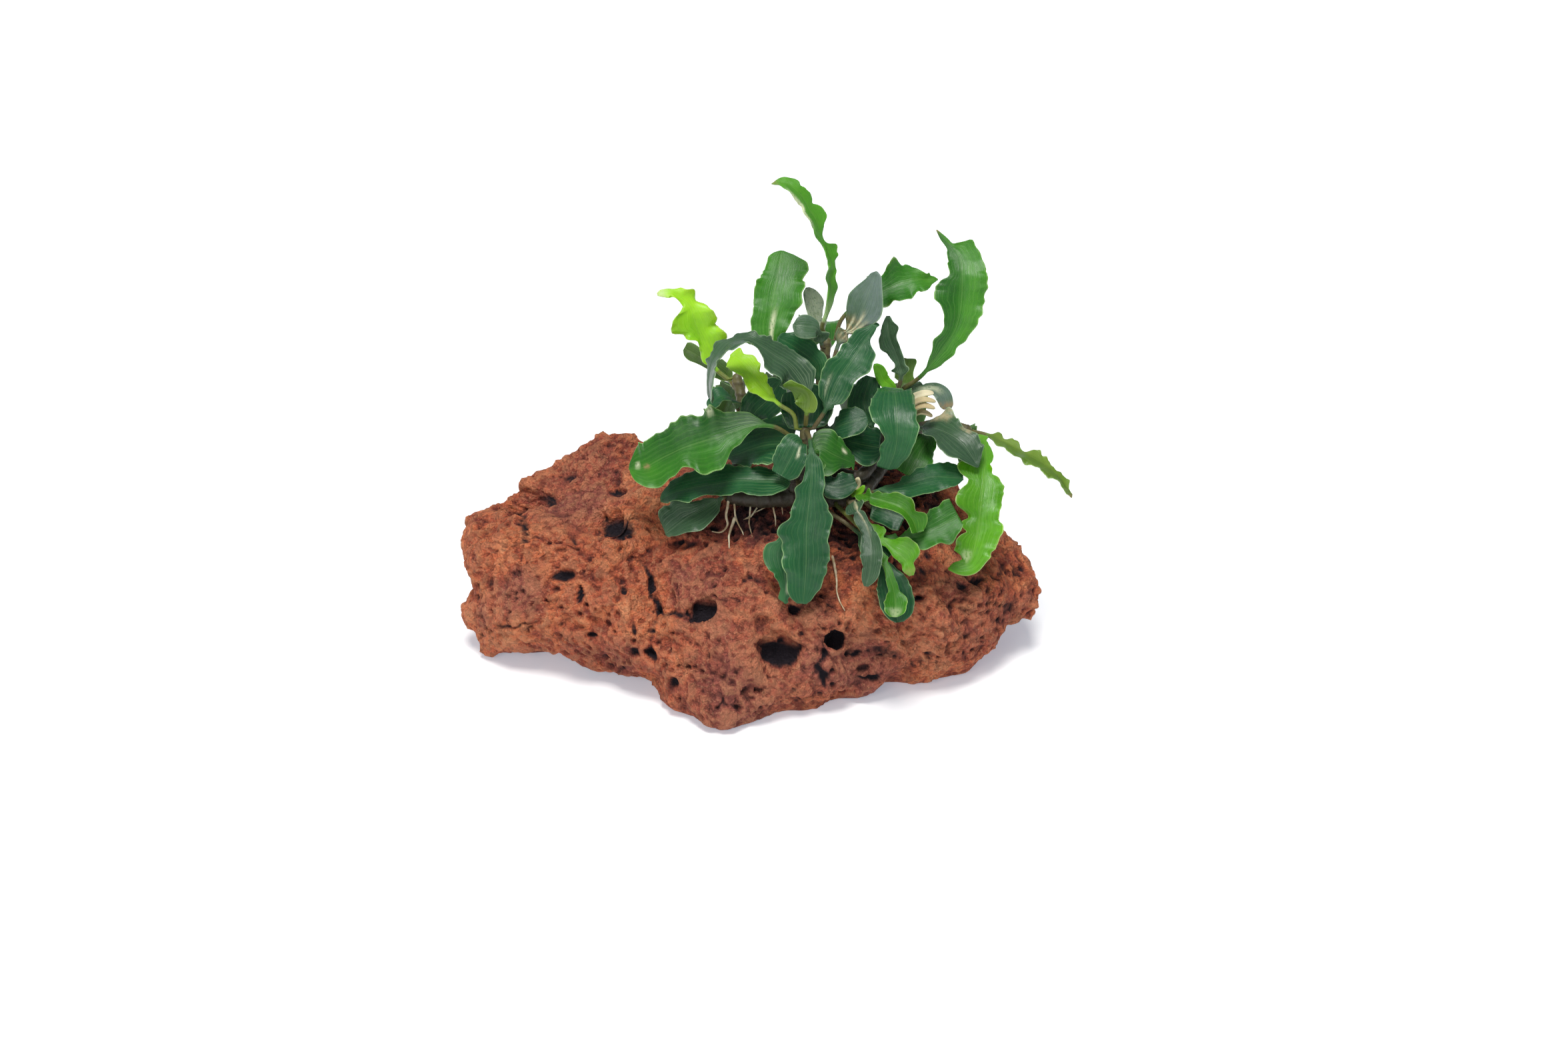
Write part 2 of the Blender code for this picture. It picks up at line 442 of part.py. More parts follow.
TOP_LEAVES = [
    Leaf("leaf_tall_sickle", "stem_top", 0.985,
         [(1233, 492, 9), (1240, 470, 9.5), (1246, 448, 10), (1246, 422, 11), (1249, 400, 11.5),
          (1243, 381, 12), (1234, 364, 12.5), (1230, 348, 13), (1224, 330, 13.5), (1213, 313, 14),
          (1204, 297, 14.5), (1192, 284, 15), (1178, 275, 15), (1157, 276, 15)],
         8.0, ((0.9, 0.1, 0.7), (0.3, 0.7, 0.7)), 12, 0.35, 5, 0.06, 0.6, 0.6, "leaf_mid",
         edge=[(1228, 488), (1234, 470), (1240, 450), (1243, 432), (1237, 418), (1239, 408),
               (1244, 400), (1239, 383), (1233, 368), (1227, 360), (1222, 350), (1221, 343),
               (1215, 335), (1205, 320), (1205, 312), (1196, 302), (1186, 292), (1177, 283),
               (1168, 277), (1157, 277), (1166, 269), (1175, 265), (1187, 264), (1199, 271),
               (1201, 278), (1208, 284), (1218, 290), (1222, 303), (1232, 312), (1238, 328),
               (1235, 337), (1238, 345), (1236, 350), (1240, 365), (1251, 370), (1253, 382),
               (1257, 397), (1251, 412), (1256, 430), (1252, 445), (1246, 470), (1238, 490)]),
    Leaf("leaf_top_broad", "stem_top", 0.62,
         [(1205, 575, 7.5), (1165, 540, 7.5), (1153, 505, 8), (1156, 465, 7), (1165, 420, 5),
          (1173, 376, 2)],
         11.2, ((0, 0, 1), (0, 0.3, 1)), 6, 0.5, 3.5, 0.28, 0.7, 0.32, "leaf_mid",
         edge=[(1150, 530), (1140, 515), (1128, 500), (1125, 482), (1131, 460), (1130, 440),
               (1140, 415), (1148, 395), (1160, 378), (1184, 379), (1197, 386), (1210, 393),
               (1214, 404), (1205, 417), (1207, 428), (1202, 440), (1203, 456), (1192, 468),
               (1188, 482), (1178, 500), (1168, 516), (1158, 530)]),
    Leaf("leaf_top_oval", "stem_top", 0.97,
         [(1226, 478, 4), (1220, 455, 3), (1212, 431, 2)],
         5.0, ((0.3, 0, 1), (0.3, 0, 1)), 8, 0.1, 1, 0.12, 0.7, 0.5, "leaf_grey",
         edge=[(1214, 480), (1209, 465), (1206, 450), (1205, 438), (1210, 431), (1220, 433),
               (1230, 441), (1236, 452), (1234, 466), (1232, 478)]),
    Leaf("leaf_top_round", "stem_top", 0.94,
         [(1226, 494, 13.5), (1210, 490, 15), (1189, 488, 15.5)],
         5.4, ((0, 0.3, 1), (-0.2, 0.3, 1)), 8, 0.1, 1, 0.08, 0.55, 0.42, "leaf_grey",
         edge=[(1228, 482), (1215, 473), (1203, 472), (1193, 480), (1190, 500), (1200, 507),
               (1215, 508), (1228, 504)]),
    Leaf("leaf_behind_arch", "stem_top", 0.70,
         [(1224, 547, 11), (1198, 525, 12), (1166, 506, 13)],
         7.0, ((0, 0.4, 1), (0, 0.4, 1)), 8, 0.3, 2, 0.1, 0.6, 0.5),
    Leaf("leaf_silver", "stem_top", 0.83,
         [(1262, 508, 9.5), (1283, 488, 11.5), (1297, 455, 13.5), (1315, 407, 15)],
         8.8, ((0, 0.2, 1), (-0.2, 0.6, 0.7)), 6, 0.3, 1.5, 0.16, 0.8, 0.4, "leaf_grey",
         edge=[(1268, 500), (1270, 490), (1269, 470), (1270, 452), (1273, 441), (1285, 428),
               (1300, 417), (1309, 408), (1321, 411), (1323, 425), (1325, 445), (1325, 465),
               (1318, 480), (1300, 492), (1280, 502)]),
    Leaf("leaf_crinkled", "stem_top", 0.98,
         [(1262, 480, 8), (1295, 450, 8), (1325, 437, 8), (1350, 425, 8), (1378, 420, 7),
          (1407, 420, 5)],
         8.6, ((0, 0.4, 1), (0, 0.3, 1)), 14, 0.9, 4, 0.22, 1.0, 0.6, "leaf_mid",
         edge=[(1290, 440), (1300, 428), (1322, 412), (1335, 398), (1350, 394), (1364, 391),
               (1374, 395), (1381, 404), (1384, 411), (1396, 413), (1407, 419), (1398, 427),
               (1393, 434), (1384, 440), (1374, 438), (1371, 444), (1362, 449), (1350, 454),
               (1341, 450), (1334, 457), (1325, 460), (1305, 463), (1292, 462)]),
    Leaf("leaf_top_back", "stem_top", 0.86,
         [(1240, 520, 1), (1232, 486, -8), (1222, 490, -18), (1212, 520, -26)],
         9.0, ((0, 1, 0.2), (0, 0.4, -1)), 10, 0.6, 3, 0.12, 0.7, 0.5, "leaf_mid"),
    Leaf("leaf_mid_back_left", "stem_top", 0.55,
         [(1220, 590, 0), (1190, 570, -10), (1160, 590, -22), (1130, 640, -32)],
         10.0, ((0, 1, 0.2), (-0.3, 0.3, -1)), 10, 0.7, 3, 0.15, 0.7, 0.5),
    Leaf("leaf_mid_back_right", "stem_top", 0.45,
         [(1245, 600, 0), (1265, 580, -10), (1280, 600, -22), (1290, 650, -32)],
         10.0, ((0, 1, 0.2), (0.3, 0.3, -1)), 10, 0.7, 3, 0.15, 0.7, 0.5),
    Leaf("leaf_shade_crown", "stem_top", 0.42,
         [(1252, 642, 13.5), (1275, 634, 15), (1302, 626, 15)],
         7.6, ((0, 0.5, 1), (0, 0.5, 1)), 8, 0.3, 2, 0.10, 0.6, 0.5),
]

RIGHT_LEAVES = [
    Leaf("leaf_right_sickle", "stem_right", 0.985,
         [(1372, 572, 6), (1384, 562, 7), (1400, 542, 8), (1419, 518, 9), (1433, 494, 9.5),
          (1440, 468, 9.5), (1443, 440, 9.5), (1443, 412, 9), (1441, 388, 7.5), (1432, 374, 6.5),
          (1418, 361, 5), (1405, 345, 3)],
         10.6, ((0.25, 0.1, 1), (-0.1, 0.3, 1)), 8, 0.55, 5, 0.08, 0.9, 0.6, "leaf_mid",
         edge=[(1382, 560), (1390, 543), (1399, 522), (1400, 510), (1409, 500), (1414, 492),
               (1418, 478), (1413, 462), (1409, 455), (1401, 449), (1401, 440), (1405, 430),
               (1412, 420), (1422, 414), (1422, 400), (1422, 385), (1421, 375), (1417, 368),
               (1411, 360), (1406, 350), (1404, 344), (1415, 352), (1422, 358), (1430, 366),
               (1440, 367), (1450, 362), (1460, 363), (1464, 371), (1470, 377), (1472, 386),
               (1477, 396), (1481, 405), (1480, 420), (1480, 435), (1476, 445), (1478, 452),
               (1473, 463), (1472, 474), (1468, 476), (1466, 482), (1464, 492), (1457, 497),
               (1455, 503), (1448, 515), (1437, 522), (1432, 532), (1422, 540), (1412, 549),
               (1402, 558), (1391, 563)]),
    Leaf("leaf_right_folded", "stem_right", 0.95,
         [(1352, 562, 8.5), (1346, 535, 9), (1334, 505, 10), (1331, 474, 10.5)],
         7.0, ((-0.4, 0, 1), (-0.5, 0.2, 0.9)), 18, 0.3, 1.5, 0.2, 0.6, 0.55, "leaf_grey",
         edge=[(1345, 552), (1338, 540), (1327, 530), (1316, 513), (1320, 495), (1326, 480),
               (1331, 473), (1335, 474), (1340, 483), (1349, 490), (1345, 505), (1350, 522),
               (1357, 540), (1358, 550)]),
    Leaf("leaf_olive_block", "stem_right", 0.93,
         [(1355, 575, 2), (1358, 558, -1), (1360, 538, -3)],
         5.4, ((0, 0, 1), (0, 0, 1)), 6, 0.1, 1, 0.1, 0.35, 0.28, "leaf_olive",
         edge=[(1341, 575), (1342, 560), (1343, 545), (1348, 538), (1375, 540), (1371, 555),
               (1370, 562), (1372, 572)]),
    Leaf("leaf_curl_right", "stem_right", 0.88,
         [(1366, 590, 5), (1388, 583, 6), (1402, 583, 6), (1416, 592, 6), (1421, 614, 6)],
         4.4, ((0, 0.7, 0.8), (0.4, 0.3, 1)), 8, 0.2, 1, 0.1, 0.5, 0.45, "leaf_grey",
         edge=[(1385, 576), (1405, 574), (1415, 577), (1425, 585), (1430, 598), (1428, 612),
               (1413, 614), (1406, 603), (1400, 592), (1385, 592)]),
    Leaf("leaf_right_lime_small", "stem_right", 0.86,
         [(1338, 582, 9.5), (1325, 570, 10), (1319, 556, 10.5), (1311, 546, 11)],
         3.0, ((0, 0, 1), (0, 0, 1)), 10, 0.2, 1.5, 0.25, 0.6, 0.5, "leaf_lime"),
    Leaf("leaf_mid_round", "stem_right", 0.80,
         [(1340, 588, 13), (1344, 604, 19), (1346, 640, 22), (1343, 675, 21.5), (1332, 705, 20)],
         11.6, ((0.1, 0.6, 0.8), (0, 0.1, 1)), 6, 0.6, 2, 0.1, 0.45, 0.40,
         edge=[(1320, 583), (1312, 588), (1307, 596), (1304, 612), (1304, 622), (1306, 630),
               (1312, 636), (1319, 639), (1321, 645), (1327, 660), (1322, 666), (1318, 672),
               (1318, 680), (1320, 688), (1314, 697), (1319, 701), (1328, 705), (1346, 703),
               (1353, 697), (1361, 689), (1367, 680), (1369, 672), (1374, 662), (1376, 650),
               (1378, 640), (1377, 630), (1374, 610), (1369, 592), (1365, 585), (1358, 580)]),
    Leaf("leaf_dark_centre", "stem_right", 0.60,
         [(1308, 640, 9.5), (1296, 604, 9.5), (1306, 565, 8.5)],
         7.5, ((0, 0, 1), (0, 0, 1)), 8, 0.3, 2, 0.15, 0.7, 0.5,
         edge=[(1288, 640), (1274, 622), (1272, 598), (1283, 574), (1295, 565), (1306, 562),
               (1317, 568), (1321, 580), (1320, 595), (1318, 615), (1312, 640)]),
    Leaf("leaf_right_back", "stem_right", 0.74,
         [(1346, 616, -4), (1355, 588, -14), (1362, 600, -24), (1370, 650, -32)],
         9.0, ((0, 1, 0.2), (0.2, 0.3, -1)), 10, 0.6, 3, 0.15, 0.7, 0.5, "leaf_mid"),
]

FAR_RIGHT_LEAVES = [
    Leaf("leaf_grey_right", "stem_far_right", 0.60,
         [(1385, 641, 5), (1412, 646, 9.5), (1444, 666, 12.8), (1468, 701, 14)],
         10.0, ((0, 0.7, 1), (0.3, 0.6, 1)), 10, 0.3, 1.5, 0.06, 0.5, 0.5, "leaf_grey",
         edge=[(1385, 632), (1405, 626), (1428, 617), (1438, 629), (1452, 642), (1467, 653),
               (1474, 672), (1470, 692), (1467, 702), (1455, 697), (1437, 689), (1420, 684),
               (1407, 671), (1400, 655), (1384, 651)]),
    Leaf("leaf_far_right", "stem_far_right", 0.985,
         [(1474, 651, -1), (1500, 660, 0), (1545, 684, 1), (1580, 708, 1.5), (1598, 728, 2),
          (1608, 747, 2)],
         8.0, ((0.3, 0.75, 0.55), (0.4, 0.7, 0.6)), 16, 0.3, 5, 0.08, 0.6, 0.6, "leaf_olive",
         edge=[(1477, 643), (1487, 648), (1497, 646), (1504, 650), (1507, 657), (1523, 658),
               (1529, 664), (1532, 673), (1538, 677), (1552, 674), (1560, 678), (1564, 686),
               (1575, 692), (1578, 699), (1592, 705), (1603, 720), (1604, 738), (1608, 748),
               (1602, 744), (1595, 733), (1585, 721), (1570, 710), (1555, 701), (1540, 692),
               (1525, 684), (1510, 674), (1495, 667), (1478, 658)]),
    Leaf("leaf_lime_right", "stem_far_right", 0.93,
         [(1474, 662, 5), (1478, 690, 10), (1474, 730, 14), (1470, 770, 16), (1464, 810, 17.5),
          (1452, 845, 18), (1422, 853, 18)],
         10.5, ((0.3, 0.3, 1), (0, 0.3, 1)), 6, 0.8, 4, 0.06, 0.6, 0.38, "leaf_lime",
         edge=[(1480, 662), (1485, 670), (1490, 680), (1490, 690), (1484, 699), (1485, 707),
               (1490, 715), (1498, 722), (1504, 732), (1505, 745), (1504, 758), (1498, 768),
               (1502, 785), (1500, 803), (1494, 820), (1484, 840), (1470, 857), (1450, 864),
               (1430, 859), (1422, 854), (1430, 845), (1444, 838), (1434, 830), (1430, 822),
               (1431, 815), (1441, 803), (1452, 799), (1443, 790), (1445, 782), (1452, 775),
               (1450, 768), (1440, 763), (1434, 757), (1432, 745), (1436, 737), (1450, 728),
               (1455, 718), (1448, 714), (1440, 706), (1436, 695), (1442, 691), (1455, 689),
               (1468, 680), (1470, 662)]),
    Leaf("leaf_behind_round", "stem_far_right", 0.50,
         [(1392, 654, 3), (1380, 680, 6.5), (1362, 714, 9)],
         10.0, ((0.2, 0.4, 1), (0.2, 0.4, 1)), 6, 0.3, 2, 0.1, 0.5, 0.45, "leaf_mid",
         edge=[(1376, 650), (1354, 666), (1340, 690), (1342, 714), (1380, 718), (1398, 692),
               (1404, 668), (1400, 656)]),
    Leaf("leaf_far_back", "stem_far_right", 0.72,
         [(1425, 640, -9), (1440, 648, -16), (1455, 682, -22), (1462, 720, -24)],
         9.0, ((0, 1, 0.2), (0.4, 0.3, -1)), 10, 0.6, 3, 0.12, 0.7, 0.5, "leaf_mid"),
]

LOW_LEAVES = [
    Leaf("leaf_low_right", "rhizome", 0.985,
         [(1316, 737, 16.5), (1350, 727, 16), (1400, 716, 14.5), (1445, 718, 13)],
         8.2, ((0, 0.7, 0.8), (0.1, 0.6, 0.9)), 8, 0.6, 2.5, 0.1, 0.6, 0.45,
         edge=[(1320, 731), (1335, 727), (1352, 716), (1372, 708), (1390, 698), (1412, 692),
               (1432, 697), (1448, 712), (1432, 731), (1408, 735), (1390, 743), (1368, 747),
               (1340, 744), (1325, 741)]),
    Leaf("leaf_lime_pod", "rhizome", 0.985,
         [(1298, 745, 22), (1325, 752, 24), (1352, 762, 25.5), (1368, 778, 26), (1376, 800, 26.5)],
         5.4, ((0, 0.3, 1), (0.6, 0.2, 0.8)), 30, 0.3, 2, 0.1, 0.5, 0.5, "leaf_lime",
         edge=[(1305, 740), (1330, 739), (1352, 743), (1365, 750), (1369, 767), (1389, 771),
               (1389, 788), (1383, 800), (1376, 802), (1366, 802), (1363, 790), (1358, 778),
               (1345, 769), (1320, 762), (1303, 753)]),
    Leaf("leaf_low_wavy", "rhizome", 0.96,
         [(1300, 785, 19), (1335, 808, 22.5), (1370, 806, 24), (1405, 792, 24), (1438, 775, 23.5)],
         9.6, ((0, 0.5, 1), (0, 0.3, 1)), 8, 0.7, 3.5, 0.35, 1.2, 0.32, "leaf_mid",
         edge=[(1345, 803), (1358, 799), (1372, 790), (1380, 780), (1390, 771), (1403, 760),
               (1412, 752), (1428, 750), (1438, 760), (1442, 775), (1444, 788), (1438, 803),
               (1425, 816), (1412, 815), (1400, 821), (1385, 824), (1370, 820), (1350, 812)]),
    Leaf("leaf_low_ragged", "rhizome", 0.90,
         [(1304, 787, 21.5), (1335, 822, 25.5), (1358, 840, 27), (1366, 864, 27.5)],
         6.0, ((0, 0.3, 1), (0, 0.3, 1)), 8, 0.5, 2, 0.30, 0.8, 0.4, "leaf_lime",
         edge=[(1322, 806), (1345, 808), (1367, 810), (1378, 822), (1383, 832), (1371, 842),
               (1373, 855), (1368, 865), (1354, 857), (1351, 845), (1340, 835), (1332, 824),
               (1318, 815), (1312, 808)]),
    Leaf("leaf_low_grey", "rhizome", 0.99,
         [(1283, 762, 24), (1297, 785, 26), (1306, 815, 28.5), (1306, 850, 30.5), (1299, 880, 31)],
         6.4, ((-0.2, 0.1, 1), (-0.2, 0.1, 1)), 10, 0.4, 2, 0.12, 0.6, 0.5, "leaf_grey",
         edge=[(1279, 772), (1286, 790), (1293, 810), (1289, 830), (1293, 848), (1292, 868),
               (1298, 881), (1306, 878), (1316, 868), (1322, 850), (1325, 830), (1316, 802),
               (1305, 783), (1292, 765)]),
    Leaf("leaf_low_dark", "rhizome", 0.72,
         [(1288, 800, 21), (1318, 835, 24), (1338, 880, 26), (1347, 934, 26.5)],
         8.6, ((0, 0.3, 1), (0, 0.2, 1)), 8, 0.3, 2, 0.3, 0.7, 0.42,
         edge=[(1312, 845), (1316, 862), (1315, 878), (1317, 895), (1325, 920), (1342, 934),
               (1358, 931), (1369, 920), (1372, 905), (1369, 888), (1360, 868), (1345, 850),
               (1330, 843)]),
    Leaf("leaf_low_spoon", "rhizome", 0.82,
         [(1297, 800, 24.5), (1318, 832, 27), (1334, 865, 29.5), (1343, 900, 31), (1343, 926, 32)],
         5.0, ((0, 0.2, 1), (0, 0.5, 1)), 15, 0.2, 1.5, 0.45, 0.8, 0.35, "leaf_lime",
         edge=[(1322, 845), (1327, 858), (1329, 872), (1332, 890), (1327, 905), (1327, 917),
               (1335, 925), (1344, 926), (1356, 921), (1359, 910), (1361, 897), (1353, 888),
               (1344, 870), (1337, 852), (1330, 842)]),
    Leaf("leaf_shade_low", "rhizome", 1.0,
         [(1304, 759, 13), (1328, 768, 15), (1356, 778, 16)],
         7.5, ((0, 0.4, 1), (0, 0.4, 1)), 8, 0.3, 2, 0.12, 0.6, 0.5,
         edge=[(1305, 752), (1330, 750), (1352, 760), (1362, 775), (1358, 790), (1345, 796),
               (1325, 788), (1302, 775)]),
]

LEFT_LEAVES = [
    Leaf("leaf_lime_far_left", "stem_left", 0.97,
         [(1076, 556, 1), (1060, 530, 2), (1048, 500, 3), (1040, 475, 4), (1035, 460, 4.3),
          (1020, 447, 4.7), (1005, 438, 5), (986, 443, 5)],
         9.0, ((0.1, 0, 1), (0.1, 0.5, 0.9)), 10, 0.8, 4, 0.12, 0.6, 0.6, "leaf_lime",
         edge=[(1082, 545), (1092, 520), (1096, 505), (1086, 499), (1077, 492), (1074, 478),
               (1067, 467), (1060, 455), (1049, 446), (1040, 438), (1030, 437), (1022, 431),
               (1012, 432), (1000, 431), (990, 434), (985, 443), (998, 446), (1010, 448), (1021, 453),
               (1026, 461), (1017, 472), (1009, 480), (1009, 489), (1001, 495), (1010, 505),
               (1022, 503), (1030, 510), (1045, 511), (1050, 525), (1052, 540), (1058, 550),
               (1066, 560)]),
    Leaf("leaf_olive_far_left", "stem_left", 0.90,
         [(1085, 560, -5), (1062, 545, -7), (1045, 533, -7.5), (1026, 523, -8)],
         5.6, ((0, 0.2, 1), (0, 0.2, 1)), 8, 0.2, 1, 0.15, 0.6, 0.4, "leaf_olive",
         edge=[(1070, 543), (1062, 535), (1050, 522), (1042, 516), (1034, 513), (1027, 518),
               (1025, 525), (1025, 532), (1032, 540), (1042, 544), (1052, 549), (1066, 557),
               (1072, 560)]),
    Leaf("leaf_left_back", "stem_left", 0.85,
         [(1100, 575, -8), (1096, 582, -16), (1082, 620, -24), (1064, 660, -29)],
         8.5, ((0, 1, 0.2), (-0.4, 0.3, -1)), 10, 0.6, 3, 0.12, 0.7, 0.5, "leaf_mid"),
    Leaf("leaf_left_shade", "stem_left", 0.70,
         [(1100, 600, 7), (1082, 594, 9), (1062, 612, 9)],
         6.0, ((-0.1, 0.8, 0.6), (-0.1, 0.8, 0.6)), 8, 0.3, 2, 0.1, 0.6, 0.5),
    Leaf("leaf_shade_arch", "stem_left", 0.45,
         [(1130, 623, 5.5), (1152, 599, 7.5), (1172, 570, 9.5)],
         8.5, ((0, 0.4, 1), (0, 0.2, 1)), 8, 0.4, 2, 0.12, 0.6, 0.5),
]

LEAVES = FRONT_LEAVES + TOP_LEAVES + RIGHT_LEAVES + FAR_RIGHT_LEAVES + LOW_LEAVES + LEFT_LEAVES


def edge_reach(edge, spine, ways, plain, most):
    """How far a blade reaches from each midrib point along its way, to where that crosses the edge.

    Both are taken as they show in the picture, so a blade seen at a slant comes out wider. Each
    reach is the least positive u that solves start + u * way = corner + v * run for v from 0 to 1.
    Where no run is crossed the plain reach stands.
    """
    outline = smooth_path([(x, y, 0.0) for x, y in (*edge, edge[0])], EDGE_STEPS * len(edge))[0][:, :2]
    starts = in_picture(spine)
    steps = in_picture(spine + ways) - starts
    corners, runs = outline[:-1], np.diff(outline, axis=0)
    apart = corners[None] - starts[:, None]
    slant = steps[:, None, 0] * runs[None, :, 1] - steps[:, None, 1] * runs[None, :, 0]
    slant = np.where(np.abs(slant) < LEAST_SLANT, LEAST_SLANT, slant)
    reach = (apart[..., 0] * runs[None, :, 1] - apart[..., 1] * runs[None, :, 0]) / slant
    run = (apart[..., 0] * steps[:, None, 1] - apart[..., 1] * steps[:, None, 0]) / slant
    reach[(run < 0.0) | (run > 1.0) | (reach <= 0.0)] = np.inf
    reach = reach.min(1)
    return np.where(np.isfinite(reach), np.minimum(reach, most), plain)


def leaf_rings(leaf, radius):
    """The four corners of each ring of a leaf, and its tip.

    The half width along the blade is read off the edge, or else it is x to the base power times
    (1 - x) to the tip power, scaled to the leaf's width. Both sides rise from the midrib by the
    fold, and their edges swing up and down in a sine wave, out of step with each other.
    """
    axis = stem_path(leaf.stem, AXIS_POINTS)
    midrib = [seen(*mark) for mark in leaf.midrib]
    start, _ = leaving_point(axis, leaf.at, midrib[0], radius)
    length = smooth_path([start] + midrib, 2)[1]
    rings = int(np.clip(round(length / RING_SPACING) + 1, *RINGS))
    spine, _ = smooth_path([start] + midrib, rings)
    share = np.linspace(0, 1, rings)
    along = unit(np.gradient(spine, axis=0))
    face = np.outer(1 - share, leaf.face[0]) + np.outer(share, leaf.face[1])
    face = face @ np.array([ACROSS, UPWARD, TOWARD])
    upper = unit(face - (face * along).sum(1, keepdims=True) * along)
    side = np.cross(along, upper)

    blade = np.clip((share - leaf.stalk) / (1 - leaf.stalk), 0, 1)
    peak = leaf.base / (leaf.base + leaf.tip)
    fullest = peak ** leaf.base * (1 - peak) ** leaf.tip
    plain = leaf.width / 2 * blade ** leaf.base * (1 - blade) ** leaf.tip / fullest
    least = STALK_HALF_WIDTH * (1 - STALK_TAPER * share)
    fold = np.radians(leaf.fold) * np.clip(FOLD_ONSET * blade, 0, 1)
    reaches = {-1: plain, 1: plain}
    if leaf.edge:
        for hand in reaches:
            ways = (hand * np.cos(fold))[:, None] * side + np.sin(fold)[:, None] * upper
            reaches[hand] = edge_reach(leaf.edge, spine, ways, plain, MOST_REACH * leaf.width)
            reaches[hand] *= np.clip(BLADE_ONSET * blade, 0, 1)
    half = 0.5 * (reaches[-1] + reaches[1])
    onset = np.clip(WAVE_ONSET * blade, 0, 1) * np.clip(WAVE_END * (1 - blade), WAVE_AT_TIP, 1)
    open_share = onset * (half > LEAST_WAVED)
    thickness = np.where(blade > 0, BLADE_THICKNESS, STALK_THICKNESS)

    edges = []
    for hand in (-1, 1):
        swing = leaf.wave * open_share * np.sin(2 * np.pi * (leaf.waves * blade + WAVE_LAG * hand))
        reach = np.maximum(reaches[hand], least)
        rise = reach * np.sin(fold) + swing
        edges.append(spine + side * (hand * reach * np.cos(fold))[:, None] + upper * rise[:, None])
    below = spine - upper * (thickness / 2)[:, None]
    above = spine + upper * (thickness / 2)[:, None]
    corners = np.stack([edges[0], below, edges[1], above], axis=1)
    return corners[:-1], spine[-1]


def make_leaf(leaf):
    """A thin closed blade on its stalk, skinned over rings of four corners and drawn to a point.

    Each cell is split from the midrib out to the margin, so the upper and lower skins stay parallel.
    """
    radius = RHIZOME_RADIUS if leaf.stem == "rhizome" else SHOOT_RADIUS
    corners, tip = leaf_rings(leaf, radius)
    shape = bmesh.new()
    rings = [[shape.verts.new(corner * MILLIMETRE) for corner in ring] for ring in corners]
    point = shape.verts.new(tip * MILLIMETRE)
    for here in range(4):
        beyond = (here + 1) % 4
        for ring, following in zip(rings, rings[1:]):
            if here % 2:
                shape.faces.new((ring[beyond], ring[here], following[beyond]))
                shape.faces.new((ring[here], following[here], following[beyond]))
            else:
                shape.faces.new((ring[beyond], ring[here], following[here]))
                shape.faces.new((ring[beyond], following[here], following[beyond]))
        shape.faces.new((rings[-1][beyond], rings[-1][here], point))
    shape.faces.new(rings[0])
    mesh = bpy.data.meshes.new(leaf.name)
    shape.to_mesh(mesh)
    shape.free()
    return add_object(leaf.name, mesh, leaf.finish)


make_stone()
make_stem("rhizome", RHIZOME_RADIUS)
for shoot in SHOOTS:
    make_stem(shoot, SHOOT_RADIUS)
for each in LEAVES:
    make_leaf(each)
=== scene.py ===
"""Bucephalandra on a loose piece of red-brown lava stone, dressed for its looks.

The stone, the creeping rhizome with its shoots, and every leaf are finer surfaces over the solids of
the frame. Lengths are in millimetres until they go into a mesh. Points read off the picture are
(x, y, toward): x and y in its pixels, and how far the point is towards the viewer, in millimetres.
"""

import itertools
from dataclasses import dataclass

import bpy
import numpy as np
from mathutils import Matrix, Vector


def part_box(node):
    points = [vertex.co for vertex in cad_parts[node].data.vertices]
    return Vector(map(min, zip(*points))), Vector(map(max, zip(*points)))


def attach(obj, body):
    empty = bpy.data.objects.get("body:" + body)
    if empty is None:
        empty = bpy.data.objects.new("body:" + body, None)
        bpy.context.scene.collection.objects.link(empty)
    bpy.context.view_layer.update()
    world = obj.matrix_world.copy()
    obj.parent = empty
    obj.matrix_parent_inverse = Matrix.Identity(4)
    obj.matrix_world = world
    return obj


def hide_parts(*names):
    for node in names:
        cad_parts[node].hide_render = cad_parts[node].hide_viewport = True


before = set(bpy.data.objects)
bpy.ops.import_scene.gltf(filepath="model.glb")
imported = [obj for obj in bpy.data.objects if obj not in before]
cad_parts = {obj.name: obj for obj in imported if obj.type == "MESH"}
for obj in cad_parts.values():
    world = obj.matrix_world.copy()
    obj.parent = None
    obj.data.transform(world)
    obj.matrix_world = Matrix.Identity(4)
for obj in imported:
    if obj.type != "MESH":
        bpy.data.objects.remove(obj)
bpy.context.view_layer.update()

# Lava stone
# One loose piece of red-brown scoria. Gas blew it full of bubbles as it cooled, and it broke off and
# was tumbled, so its skin is crumbs and open pits. It lies on a flat patch of its underside.
MILLIMETRE = 0.001
STONE_WIDTH = 130.0
STONE_MIDDLE = np.array([0.0, 0.0, 19.0])
STONE_HALF = np.array([66.0, 38.0, 24.0])
STONE_CELLS = np.array([216, 108, 76])
BLEND_SOFTNESS = 0.02
LUMPS = [(28.0, 11.0, 0.4), (13.0, 8.0, 0.6)]
LUMP_WAVES = 22
STONE_SEED = 20

# How the picture was taken: its middle, the size of a pixel at the stone's middle, and the eye
PICTURE_MIDDLE = (1176.0, 784.0)
PIXEL = STONE_WIDTH / 866.7
EYE_DISTANCE = 600.0
EYE_ELEVATION = np.radians(30.0)
AIM = np.array([7.5, 0.0, 29.0])
ACROSS = np.array([1.0, 0.0, 0.0])
UPWARD = np.array([0.0, np.sin(EYE_ELEVATION), np.cos(EYE_ELEVATION)])
TOWARD = np.array([0.0, -np.cos(EYE_ELEVATION), np.sin(EYE_ELEVATION)])

